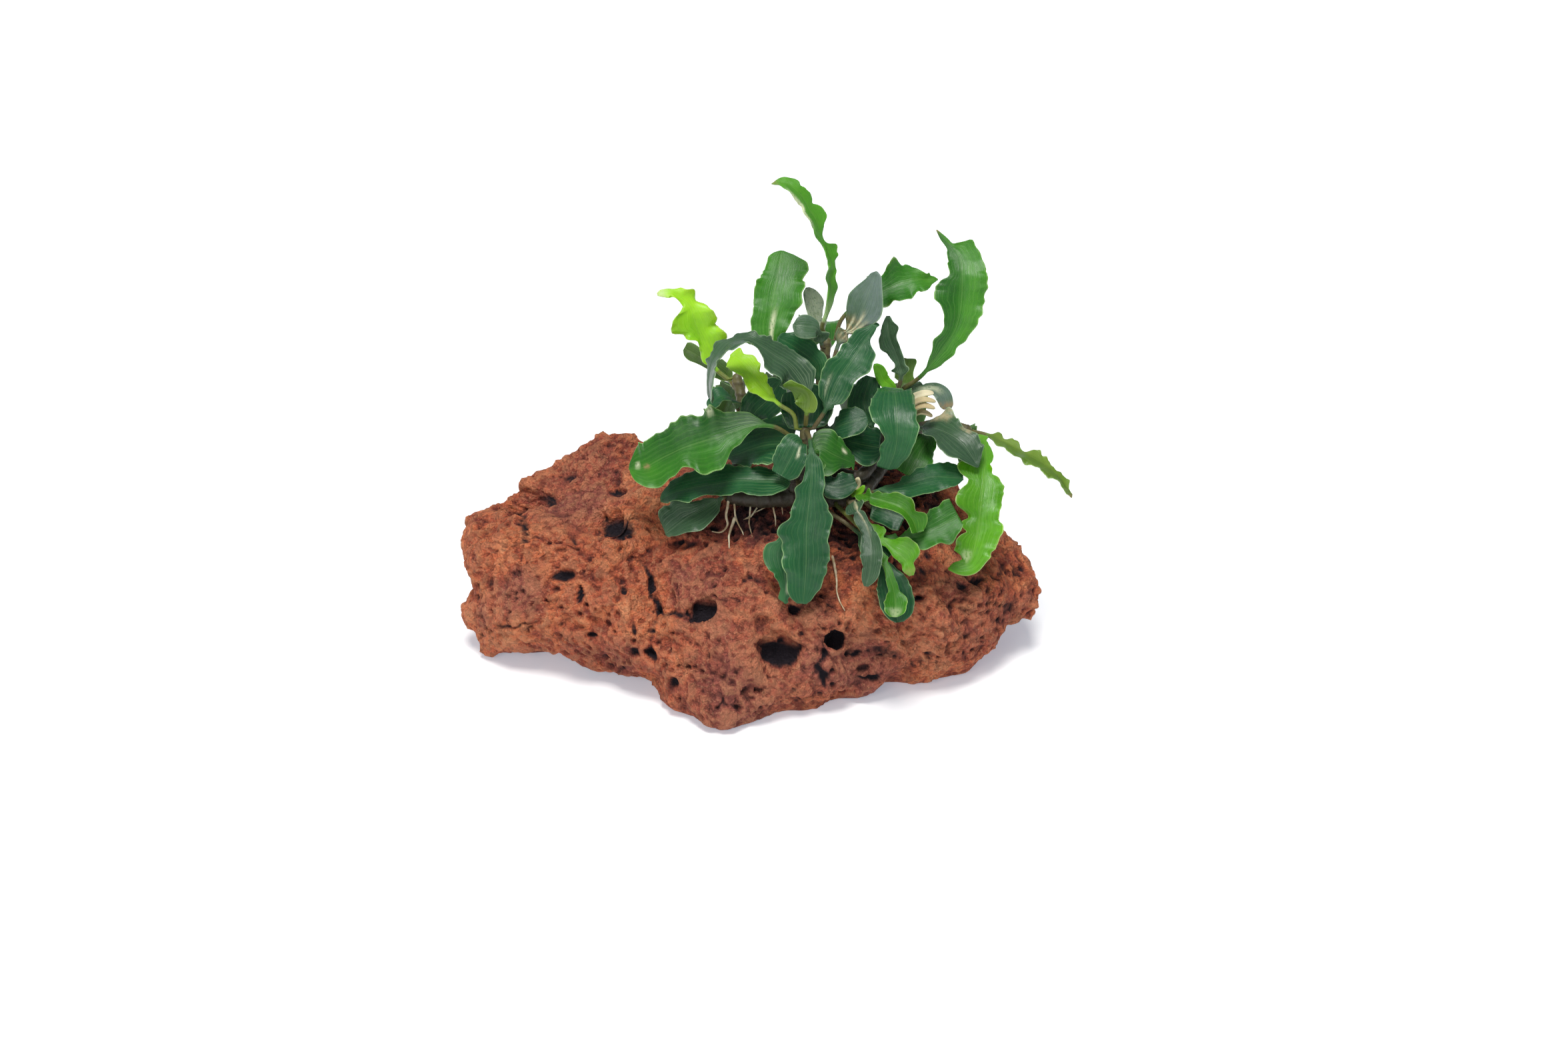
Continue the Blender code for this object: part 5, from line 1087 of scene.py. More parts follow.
def leaf_surface(leaf, stem, salt):
    """Rings of points over a leaf, and for each point where it lies on the blade and how it looks.

    Across a ring, t runs from -1 to 1 over the upper skin and back again under it. Both sides rise
    from the midrib by the fold times t to the 1.4. They swing up and down in a sine wave that grows
    with t to the 2.2, and in a shorter, uneven ruffle that grows with t to the fifth.
    """
    spine, share, length, upper, side = leaf_spine(leaf, stem)
    folded, wave, waves = leaf.lie
    stalk = leaf.shape[0]
    blade = np.clip((share - stalk) / (1 - stalk), 0, 1)
    fold = np.radians(folded) * np.clip(4 * blade, 0, 1)
    reaches = half_widths(leaf, spine, blade, fold, upper, side)
    plain = 0.5 * (reaches[-1] + reaches[1])
    least = STALK_HALF_WIDTH * (1 - 0.3 * share) * np.clip(30 * (1 - share), 0.02, 1) ** 0.5
    open_share = np.clip(3 * blade, 0, 1) * np.clip(6 * (1 - blade), 0.3, 1)
    open_share = open_share * np.clip(plain - NARROWEST_BLADE, 0, 1)

    t = np.sin(np.linspace(-np.pi / 2, np.pi / 2, BLADE_POINTS))
    t = np.concatenate([t, t[-2:0:-1]])
    under = np.repeat([0.0, 1.0], [BLADE_POINTS, BLADE_POINTS - 2])
    aside = np.abs(t)
    out = np.zeros((len(spine), len(t)))
    lift = np.zeros_like(out)
    for hand in (-1, 1):
        margin = np.stack(np.broadcast_arrays(blade * waves * WAVE_CELLS, 3.0 * hand, 0.5), axis=1)
        uneven = soft_noise(margin, 1.0, salt)
        ruffle = sum(height * soft_noise(margin * (cells * length / waves, 1, 1), 1.0, salt + number)
                     for number, (cells, height) in enumerate(RUFFLES, 2))
        reach = np.maximum(reaches[hand] + open_share * leaf.ruffle * ruffle, least)
        swing = wave * open_share * np.sin(2 * np.pi * (waves * blade + 0.13 * hand) + 0.9 * uneven)
        ruffle = leaf.ruffle * RUFFLE_LIFT * open_share * ruffle
        mine = np.sign(t) == hand
        out[:, mine] = (hand * reach * np.cos(fold))[:, None] * aside[mine]
        lift[:, mine] = (reach * np.sin(fold))[:, None] * aside[mine] ** 1.4
        lift[:, mine] += swing[:, None] * aside[mine] ** 2.2 + ruffle[:, None] * aside[mine] ** 5
    flat = np.stack(np.broadcast_arrays(share[:, None] * length, out, 0.0 * out), axis=-1)
    wrinkle = soft_noise(flat, WRINKLE_SIZE, salt + 1)
    lift += WRINKLE_HEIGHT * open_share[:, None] * wrinkle * (1 - 0.5 * aside)
    lift = lift + leaf_skin(out, aside, under, blade, plain, least, open_share)
    rings = spine[:, None] + side[:, None] * out[..., None] + upper[:, None] * lift[..., None]

    run = np.where(share < stalk, share / stalk - 1.0, blade)
    place_on = np.stack(np.broadcast_arrays(run[:, None], t, under), axis=-1)
    return rings, place_on, leaf_looks(leaf, run, blade, t)


# Colours of the leaf finishes: deep, middle and bright, then roughness and how much light glows through
LEAF_COLOURS = {
    "leaf_dark": ((0.004, 0.034, 0.014), (0.013, 0.088, 0.027), (0.048, 0.195, 0.055), 0.32, 0.05),
    "leaf_mid": ((0.009, 0.062, 0.009), (0.032, 0.165, 0.010), (0.100, 0.330, 0.018), 0.36, 0.12),
    "leaf_lime": ((0.032, 0.150, 0.006), (0.110, 0.350, 0.009), (0.340, 0.650, 0.022), 0.30, 0.25),
    "leaf_grey": ((0.016, 0.048, 0.024), (0.050, 0.110, 0.050), (0.200, 0.255, 0.250), 0.27, 0.05),
    "leaf_olive": ((0.028, 0.066, 0.007), (0.090, 0.175, 0.013), (0.230, 0.330, 0.035), 0.36, 0.15),
    "leaf_dry": ((0.200, 0.120, 0.045), (0.520, 0.400, 0.200), (0.800, 0.740, 0.520), 0.60, 0.05),
}
# What veins, rims, undersides and stalks take on beside the leaf's own colour, and the colours of spots:
# dry ones, and pale ones that are in part painted highlights
VEIN_TINT = (0.35, 0.5, 0.2)
RIM_TINT = (0.42, 0.62, 0.28)
UNDER_TINT = (0.16, 0.26, 0.12)
STALK_TINT = (0.25, 0.15, 0.07)
STALK_MOTTLE = (0.080, 0.048, 0.020)
DRY_SPOT = (0.30, 0.20, 0.09)
PALE_SPOT_AND_PAINTED_HIGHLIGHT = (0.75, 0.76, 0.52)
# How far the strands of a blade are drawn out along it and across it, and how they drift over the clump
STRAND_SCALES = (5.0, 20.0, 3.0)
STRAND_DRIFT = (50.0, 50.0, 50.0)


def tint(colour, other, share):
    """A fixed colour that takes on a share of another."""
    return tuple((1.0 - share) * a + share * b for a, b in zip(colour, other))


def leaf_finish(name):
    """Glossy leaf skin: mottled green with paler veins and rim, a browner stalk, dry and pale spots; some
    pale spots are painted highlights.
    """
    deep, middle, bright, gloss, glow = LEAF_COLOURS[name]
    material, tree, shader = new_finish(
        name, Specular_IOR_Level=0.32, Coat_Weight=0.04, Coat_Roughness=0.25, Subsurface_Weight=glow,
        Subsurface_Scale=0.002, Subsurface_Radius=(0.5, 1.0, 0.15))
    where = object_place(tree)
    on_blade = painted(tree, "on_blade", "Vector")
    run, t, under = add_node(tree, "SeparateXYZ", {0: on_blade}).outputs
    tone, dry, pale = add_node(tree, "SeparateXYZ", {0: painted(tree, "looks", "Vector")}).outputs
    aside = maths(tree, "ABSOLUTE", t)
    broad = noise(tree, where, 130.0)
    mottle = noise(tree, where, 1700.0)
    drift = add_node(tree, "VectorMath", {0: where, 1: STRAND_DRIFT}, operation="MULTIPLY")
    drawn = add_node(tree, "VectorMath", {0: on_blade, 1: STRAND_SCALES, 2: drift.outputs[0]},
                     operation="MULTIPLY_ADD")
    strand = noise(tree, drawn.outputs[0], 1.0)

    level = times(tree, tone, 0.34, times(tree, broad, 0.45, 0.10))
    level = times(tree, strand, 0.27, maths(tree, "ADD", level, 0.04))
    level = times(tree, mottle, 0.10, maths(tree, "ADD", level, -0.05))
    colour = colour_steps(tree, level, [(0.15, deep), (0.5, middle), (0.92, bright)])
    ripple = maths(tree, "COSINE", times(tree, aside, 2 * np.pi * VEIN_COUNT))
    vein = maths(tree, "POWER", times(tree, ripple, -0.5, 0.5), 6.0)
    veins = times(tree, vein, rise(tree, run, 0.35, 0.0, 0.07, 0.40))
    midrib = times(tree, rise(tree, aside, 0.05, 0.0), 0.20)
    rim = times(tree, rise(tree, aside, 0.93, 0.985), rise(tree, broad, 0.35, 0.65, 0.35, 0.9))
    stalk = blend_colours(tree, mottle, STALK_MOTTLE, tint(middle, STALK_TINT, 0.65))
    patchy = times(tree, dry, rise(tree, noise(tree, where, 900.0, 4.0), 0.30, 0.60))
    # Pale spots are partly the leaf's own marks and partly painted highlights
    for share, over in (
            (maths(tree, "MAXIMUM", veins, midrib), tint(bright, VEIN_TINT, 0.5)),
            (rim, tint(bright, RIM_TINT, 0.6)),
            (times(tree, under, 0.7), tint(middle, UNDER_TINT, 0.5)),
            (times(tree, rise(tree, run, 0.04, -0.15), 0.85), stalk),
            (patchy, DRY_SPOT),
            (times(tree, pale, rise(tree, mottle, 0.25, 0.5)), PALE_SPOT_AND_PAINTED_HIGHLIGHT)):
        colour = blend_colours(tree, share, colour, over)

    roughness = rise(tree, strand, 0.3, 0.7, gloss - 0.04, gloss + 0.14)
    roughness = times(tree, maths(tree, "MAXIMUM", patchy, under), 0.25, roughness)
    quilt = times(tree, strand, 0.5, noise(tree, where, 420.0, 1.0))
    height = times(tree, vein, -0.10, quilt)
    finish_sockets(tree, shader, colour, roughness, height, 0.35, 0.0005)
    return material


leaf_finishes = {name: leaf_finish(name) for name in LEAF_COLOURS}
leaf_salts = itertools.count(107, 7)


def make_leaf(leaf, stem, slot=None):
    """One leaf as a closed skin over its rings, painted with where each point lies on the blade.

    A leaf with a slot of its own is a small scale that has no node.
    """
    rings, place_on, looks = leaf_surface(leaf, leaf.stem or stem, next(leaf_salts))
    points, faces = skin_over(rings, rings[0].mean(0), rings[-1].mean(0))
    piece = make_mesh(leaf.name + "_blade", points, faces)
    for name, values in (("on_blade", place_on), ("looks", looks)):
        ends = values[0].mean(0), values[-1].mean(0)
        paint(piece, name, np.vstack([ends[0], values.reshape(-1, 3), ends[1]]))
    piece.data.materials.append(leaf_finishes[leaf.finish])
    place(piece, None if slot else leaf.name, slot or leaf.finish)


for each in FRONT_LEAVES:
    make_leaf(each, "stem_front")

# Leaves of the top shoot
# The tallest shoot stands behind the front one. Its leaves were grown in air and turned upright to
# the light, and one old leaf has folded and lost its green.
TOP_LEAVES = [
    Leaf("leaf_tall_sickle", 0.985, 8, ((0.9, 0.1, 0.7), (0.3, 0.7, 0.7)), (12, 0.35, 5), (0.06, 0.6, 0.6),
         "leaf_mid", tone=(0.45, 0.4, 0),
         midrib=[(1233, 492, 9), (1240, 470, 9.5), (1246, 448, 10), (1246, 422, 11), (1249, 400, 11.5),
                 (1243, 381, 12), (1234, 364, 12.5), (1230, 348, 13), (1224, 330, 13.5), (1213, 313, 14),
                 (1204, 297, 14.5), (1192, 284, 15), (1178, 275, 15), (1157, 276, 15)],
         edge=[(1228, 488), (1234, 470), (1240, 450), (1243, 432), (1237, 418), (1239, 408), (1244, 400),
               (1239, 383), (1233, 368), (1227, 360), (1222, 350), (1221, 343), (1215, 335), (1205, 320),
               (1205, 312), (1196, 302), (1186, 292), (1177, 283), (1168, 277), (1157, 277), (1166, 269),
               (1175, 265), (1187, 264), (1199, 271), (1201, 278), (1208, 284), (1218, 290), (1222, 303),
               (1232, 312), (1238, 328), (1235, 337), (1238, 345), (1236, 350), (1240, 365), (1251, 370),
               (1253, 382), (1257, 397), (1251, 412), (1256, 430), (1252, 445), (1246, 470), (1238, 490)],
         spots=[(1, 0, 0.035, 2, 1, 0), (0.74, -0.9, 0.13, 0.22, 0, 0.7), (0, 0, 0.12, 2, 0, 0.25)]),
    Leaf("leaf_top_broad", 0.62, 11.2, ((0, 0, 1), (0, 0.3, 1)), (6, 0.5, 3.5), (0.28, 0.7, 0.32),
         "leaf_mid", tone=(0, 0.1, 0),
         midrib=[(1205, 575, 7.5), (1165, 540, 7.5), (1153, 505, 8), (1156, 465, 7), (1165, 420, 5),
                 (1173, 376, 2)],
         edge=[(1150, 530), (1140, 515), (1128, 500), (1125, 482), (1131, 460), (1130, 440), (1140, 415),
               (1148, 395), (1160, 378), (1184, 379), (1197, 386), (1210, 393), (1214, 404), (1205, 417),
               (1207, 428), (1202, 440), (1203, 456), (1192, 468), (1188, 482), (1178, 500), (1168, 516),
               (1158, 530)],
         spots=[(0.22, -0.05, 0.14, 0.03, 0, 0.8), (0.3, 0.18, 0.16, 0.03, 0, 0.8)]),
    Leaf("leaf_top_oval", 0.97, 5, ((0.3, 0, 1), (0.3, 0, 1)), (8, 0.1, 1), (0.12, 0.7, 0.5), "leaf_grey",
         ruffle=0.02, tone=(0, 0.2, 0),
         midrib=[(1226, 478, 4), (1220, 455, 3), (1212, 431, 2)],
         edge=[(1214, 480), (1209, 465), (1206, 450), (1205, 438), (1210, 431), (1220, 433), (1230, 441),
               (1236, 452), (1234, 466), (1232, 478)],
         spots=[(0.5, 0, 2, 2, 0, 0.22)]),
    Leaf("leaf_top_round", 0.94, 5.4, ((0, 0.3, 1), (-0.2, 0.3, 1)), (8, 0.1, 1), (0.08, 0.55, 0.42),
         "leaf_grey", ruffle=0.02, tone=(0, 0.2, 0),
         midrib=[(1226, 494, 13.5), (1210, 490, 15), (1189, 488, 15.5)],
         edge=[(1228, 482), (1215, 473), (1203, 472), (1193, 480), (1190, 500), (1200, 507), (1215, 508),
               (1228, 504)]),
    Leaf("leaf_behind_arch", 0.7, 7, ((0, 0.4, 1), (0, 0.4, 1)), (8, 0.3, 2), (0.1, 0.6, 0.5),
         midrib=[(1224, 547, 11), (1198, 525, 12), (1166, 506, 13)]),
    Leaf("leaf_silver", 0.83, 8.8, ((0, 0.2, 1), (-0.2, 0.6, 0.7)), (6, 0.3, 1.5), (0.16, 0.8, 0.4),
         "leaf_grey", ruffle=0.04, tone=(0.3, 0.5, 0.2),
         midrib=[(1262, 508, 9.5), (1283, 488, 11.5), (1297, 455, 13.5), (1315, 407, 15)],
         edge=[(1268, 500), (1270, 490), (1269, 470), (1270, 452), (1273, 441), (1285, 428), (1300, 417),
               (1309, 408), (1321, 411), (1323, 425), (1325, 445), (1325, 465), (1318, 480), (1300, 492),
               (1280, 502)],
         spots=[(0.3, 0.6, 0.14, 0.12, 0.5, 0.9), (0.33, 0.15, 0.18, 0.08, 0.7, 0.9),
                (0.3, -0.3, 0.14, 0.1, 0.5, 0.9), (0.26, 0, 0.16, 1, 0.7, 0)]),
    Leaf("leaf_crinkled", 0.98, 8.6, ((0, 0.4, 1), (0, 0.3, 1)), (14, 0.9, 4), (0.22, 1, 0.6), "leaf_mid",
         ruffle=0.42, tone=(-0.9, 1.7, 0),
         midrib=[(1262, 480, 8), (1295, 450, 8), (1325, 437, 8), (1350, 425, 8), (1378, 420, 7),
                 (1407, 420, 5)],
         edge=[(1290, 440), (1300, 428), (1322, 412), (1335, 398), (1350, 394), (1364, 391), (1374, 395),
               (1381, 404), (1384, 411), (1396, 413), (1407, 419), (1398, 427), (1393, 434), (1384, 440),
               (1374, 438), (1371, 444), (1362, 449), (1350, 454), (1341, 450), (1334, 457), (1325, 460),
               (1305, 463), (1292, 462)]),
    Leaf("leaf_top_back", 0.86, 9, ((0, 1, 0.2), (0, 0.4, -1)), (10, 0.6, 3), (0.12, 0.7, 0.5), "leaf_mid",
         midrib=[(1240, 520, 1), (1232, 486, -8), (1222, 490, -18), (1212, 520, -26)]),
    Leaf("leaf_mid_back_left", 0.55, 10, ((0, 1, 0.2), (-0.3, 0.3, -1)), (10, 0.7, 3), (0.15, 0.7, 0.5),
         midrib=[(1220, 590, 0), (1190, 570, -10), (1160, 590, -22), (1130, 640, -32)]),
    Leaf("leaf_mid_back_right", 0.45, 10, ((0, 1, 0.2), (0.3, 0.3, -1)), (10, 0.7, 3), (0.15, 0.7, 0.5),
         midrib=[(1245, 600, 0), (1265, 580, -10), (1280, 600, -22), (1290, 650, -32)]),
    Leaf("leaf_shade_crown", 0.42, 7.6, ((0, 0.5, 1), (0, 0.5, 1)), (8, 0.3, 2), (0.1, 0.6, 0.5),
         tone=(-0.5, 0, 0),
         midrib=[(1252, 642, 13.5), (1275, 634, 15), (1302, 626, 15)]),
]
for each in TOP_LEAVES:
    make_leaf(each, "stem_top")

# Leaves of the right shoot
# A long sickle of a leaf stands over small curled ones that dried at their tips.
RIGHT_LEAVES = [
    Leaf("leaf_right_sickle", 0.985, 10.6, ((0.25, 0.1, 1), (-0.1, 0.3, 1)), (8, 0.55, 5),
         (0.08, 0.9, 0.6), "leaf_mid", ruffle=0.28, tone=(-0.15, 0, 0.35),
         midrib=[(1372, 572, 6), (1384, 562, 7), (1400, 542, 8), (1419, 518, 9), (1433, 494, 9.5),
                 (1440, 468, 9.5), (1443, 440, 9.5), (1443, 412, 9), (1441, 388, 7.5), (1432, 374, 6.5),
                 (1418, 361, 5), (1405, 345, 3)],
         edge=[(1382, 560), (1390, 543), (1399, 522), (1400, 510), (1409, 500), (1414, 492), (1418, 478),
               (1413, 462), (1409, 455), (1401, 449), (1401, 440), (1405, 430), (1412, 420), (1422, 414),
               (1422, 400), (1422, 385), (1421, 375), (1417, 368), (1411, 360), (1406, 350), (1404, 344),
               (1415, 352), (1422, 358), (1430, 366), (1440, 367), (1450, 362), (1460, 363), (1464, 371),
               (1470, 377), (1472, 386), (1477, 396), (1481, 405), (1480, 420), (1480, 435), (1476, 445),
               (1478, 452), (1473, 463), (1472, 474), (1468, 476), (1466, 482), (1464, 492), (1457, 497),
               (1455, 503), (1448, 515), (1437, 522), (1432, 532), (1422, 540), (1412, 549), (1402, 558),
               (1391, 563)],
         spots=[(1, 0, 0.035, 2, 1, 0)]),
    Leaf("leaf_right_folded", 0.95, 7, ((-0.4, 0, 1), (-0.5, 0.2, 0.9)), (18, 0.3, 1.5), (0.2, 0.6, 0.55),
         "leaf_grey", tone=(-0.3, 0.3, 0),
         midrib=[(1352, 562, 8.5), (1346, 535, 9), (1334, 505, 10), (1331, 474, 10.5)],
         edge=[(1345, 552), (1338, 540), (1327, 530), (1316, 513), (1320, 495), (1326, 480), (1331, 473),
               (1335, 474), (1340, 483), (1349, 490), (1345, 505), (1350, 522), (1357, 540), (1358, 550)]),
    Leaf("leaf_olive_block", 0.93, 5.4, ((0, 0, 1), (0, 0, 1)), (6, 0.1, 1), (0.1, 0.35, 0.28),
         "leaf_olive", ruffle=0.02, tone=(-0.5, -0.2, 0),
         midrib=[(1355, 575, 2), (1358, 558, -1), (1360, 538, -3)],
         edge=[(1341, 575), (1342, 560), (1343, 545), (1348, 538), (1375, 540), (1371, 555), (1370, 562),
               (1372, 572)]),
    Leaf("leaf_curl_right", 0.88, 4.4, ((0, 0.7, 0.8), (0.4, 0.3, 1)), (8, 0.2, 1), (0.1, 0.5, 0.45),
         "leaf_grey", ruffle=0.03, tone=(0.2, 0.3, 0),
         midrib=[(1366, 590, 5), (1388, 583, 6), (1402, 583, 6), (1416, 592, 6), (1421, 614, 6)],
         edge=[(1385, 576), (1405, 574), (1415, 577), (1425, 585), (1430, 598), (1428, 612), (1413, 614),
               (1406, 603), (1400, 592), (1385, 592)],
         # The first spot is a painted sheen, whitish grey; the second is the dry tip
         spots=[(0.5, 0, 0.2, 0.4, 0, 0.4), (1, 0, 0.12, 2, 0.8, 0)]),
    Leaf("leaf_right_lime_small", 0.86, 3, ((0, 0, 1), (0, 0, 1)), (10, 0.2, 1.5), (0.25, 0.6, 0.5),
         "leaf_lime",
         midrib=[(1338, 582, 9.5), (1325, 570, 10), (1319, 556, 10.5), (1311, 546, 11)]),
    Leaf("leaf_mid_round", 0.8, 11.6, ((0.1, 0.6, 0.8), (0, 0.1, 1)), (6, 0.6, 2), (0.1, 0.45, 0.4),
         tone=(0.1, 0.1, 0),
         midrib=[(1340, 588, 13), (1344, 604, 19), (1346, 640, 22), (1343, 675, 21.5), (1332, 705, 20)],
         edge=[(1320, 583), (1312, 588), (1307, 596), (1304, 612), (1304, 622), (1306, 630), (1312, 636),
               (1319, 639), (1321, 645), (1327, 660), (1322, 666), (1318, 672), (1318, 680), (1320, 688),
               (1314, 697), (1319, 701), (1328, 705), (1346, 703), (1353, 697), (1361, 689), (1367, 680),
               (1369, 672), (1374, 662), (1376, 650), (1378, 640), (1377, 630), (1374, 610), (1369, 592),
               (1365, 585), (1358, 580)],
         spots=[(0.06, 0.1, 0.05, 0.35, 0, 0.8)]),
    Leaf("leaf_dark_centre", 0.6, 7.5, ((0, 0, 1), (0, 0, 1)), (8, 0.3, 2), (0.15, 0.7, 0.5),
         tone=(-0.4, 0, 0),
         midrib=[(1308, 640, 9.5), (1296, 604, 9.5), (1306, 565, 8.5)],
         edge=[(1288, 640), (1274, 622), (1272, 598), (1283, 574), (1295, 565), (1306, 562), (1317, 568),
               (1321, 580), (1320, 595), (1318, 615), (1312, 640)]),
    Leaf("leaf_right_back", 0.74, 9, ((0, 1, 0.2), (0.2, 0.3, -1)), (10, 0.6, 3), (0.15, 0.7, 0.5),
         "leaf_mid",
         midrib=[(1346, 616, -4), (1355, 588, -14), (1362, 600, -24), (1370, 650, -32)]),
]
for each in RIGHT_LEAVES:
    make_leaf(each, "stem_right")
# Dry scales that once wrapped the shoot's tip: where each leaves the shoot, its width, midrib and tone
DRY_SCALES = [
    (0.84, 1.9, [(1370, 598, 8), (1386, 591, 9.5), (1401, 590, 9)], (0.9, 0.0, 0.0)),
    (0.81, 1.6, [(1370, 606, 9), (1386, 600, 10.5), (1404, 603, 10)], (0.2, 0.0, 0.0)),
    (0.78, 1.7, [(1370, 614, 9), (1386, 609, 10.5), (1403, 613, 10)], (-0.2, 0.4, 0.0)),
    (0.75, 1.6, [(1372, 622, 8), (1385, 619, 9.5), (1399, 625, 9)], (0.5, -0.6, 0.0)),
]
for number, (at, width, midrib, tone) in enumerate(DRY_SCALES, 1):
    scale = Leaf(f"dry_scale_{number}", at, width, ((0, 0.6, 1), (0, 0.4, 1)), (20, 0.1, 1),
                 (0.1, 0.4, 0.4), "leaf_dry", ruffle=0.05, tone=tone, midrib=midrib)
    make_leaf(scale, "stem_right", "leaf_olive")

# Leaves of the far right shoot
# The shoot leans out over the stone's end, and its leaves hang or stick out from under its tip.
FAR_RIGHT_LEAVES = [
    Leaf("leaf_grey_right", 0.6, 10, ((0, 0.7, 1), (0.3, 0.6, 1)), (10, 0.3, 1.5), (0.06, 0.5, 0.5),
         "leaf_grey", tone=(-0.5, 0.1, -0.1),
         midrib=[(1385, 641, 5), (1412, 646, 9.5), (1444, 666, 12.8), (1468, 701, 14)],
         edge=[(1385, 632), (1405, 626), (1428, 617), (1438, 629), (1452, 642), (1467, 653), (1474, 672),
               (1470, 692), (1467, 702), (1455, 697), (1437, 689), (1420, 684), (1407, 671), (1400, 655),
               (1384, 651)],
         spots=[(0.3, -0.75, 0.1, 0.25, 0.9, 0.3), (0.62, -0.85, 0.06, 0.15, 0.7, 0.2)]),
    Leaf("leaf_far_right", 0.985, 8, ((0.3, 0.75, 0.55), (0.4, 0.7, 0.6)), (16, 0.3, 5), (0.08, 0.6, 0.6),
         "leaf_olive", ruffle=0.34, tone=(0.2, 0.1, -0.2),
         midrib=[(1474, 651, -1), (1500, 660, 0), (1545, 684, 1), (1580, 708, 1.5), (1598, 728, 2),
                 (1608, 747, 2)],
         edge=[(1477, 643), (1487, 648), (1497, 646), (1504, 650), (1507, 657), (1523, 658), (1529, 664),
               (1532, 673), (1538, 677), (1552, 674), (1560, 678), (1564, 686), (1575, 692), (1578, 699),
               (1592, 705), (1603, 720), (1604, 738), (1608, 748), (1602, 744), (1595, 733), (1585, 721),
               (1570, 710), (1555, 701), (1540, 692), (1525, 684), (1510, 674), (1495, 667), (1478, 658)],
         spots=[(1, 0, 0.04, 2, 0.9, 0)]),
    Leaf("leaf_lime_right", 0.93, 10.5, ((0.3, 0.3, 1), (0, 0.3, 1)), (6, 0.8, 4), (0.06, 0.6, 0.38),
         "leaf_lime", ruffle=0.3, tone=(-0.35, 0, -0.1),
         midrib=[(1474, 662, 5), (1478, 690, 10), (1474, 730, 14), (1470, 770, 16), (1464, 810, 17.5),
                 (1452, 845, 18), (1422, 853, 18)],
         edge=[(1480, 662), (1485, 670), (1490, 680), (1490, 690), (1484, 699), (1485, 707), (1490, 715),
               (1498, 722), (1504, 732), (1505, 745), (1504, 758), (1498, 768), (1502, 785), (1500, 803),
               (1494, 820), (1484, 840), (1470, 857), (1450, 864), (1430, 859), (1422, 854), (1430, 845),
               (1444, 838), (1434, 830), (1430, 822), (1431, 815), (1441, 803), (1452, 799), (1443, 790),
               (1445, 782), (1452, 775), (1450, 768), (1440, 763), (1434, 757), (1432, 745), (1436, 737),
               (1450, 728), (1455, 718), (1448, 714), (1440, 706), (1436, 695), (1442, 691), (1455, 689),
               (1468, 680), (1470, 662)],
         spots=[(0.86, 0.3, 0.04, 0.25, 0, 0.4)]),
    Leaf("leaf_behind_round", 0.5, 10, ((0.2, 0.4, 1), (0.2, 0.4, 1)), (6, 0.3, 2), (0.1, 0.5, 0.45),
         "leaf_mid", tone=(-0.3, 0, 0),
         midrib=[(1392, 654, 3), (1380, 680, 6.5), (1362, 714, 9)],
         edge=[(1376, 650), (1354, 666), (1340, 690), (1342, 714), (1380, 718), (1398, 692), (1404, 668),
               (1400, 656)]),
    Leaf("leaf_far_back", 0.72, 9, ((0, 1, 0.2), (0.4, 0.3, -1)), (10, 0.6, 3), (0.12, 0.7, 0.5),
         "leaf_mid",
         midrib=[(1425, 640, -9), (1440, 648, -16), (1455, 682, -22), (1462, 720, -24)]),
]
for each in FAR_RIGHT_LEAVES:
    make_leaf(each, "stem_far_right")

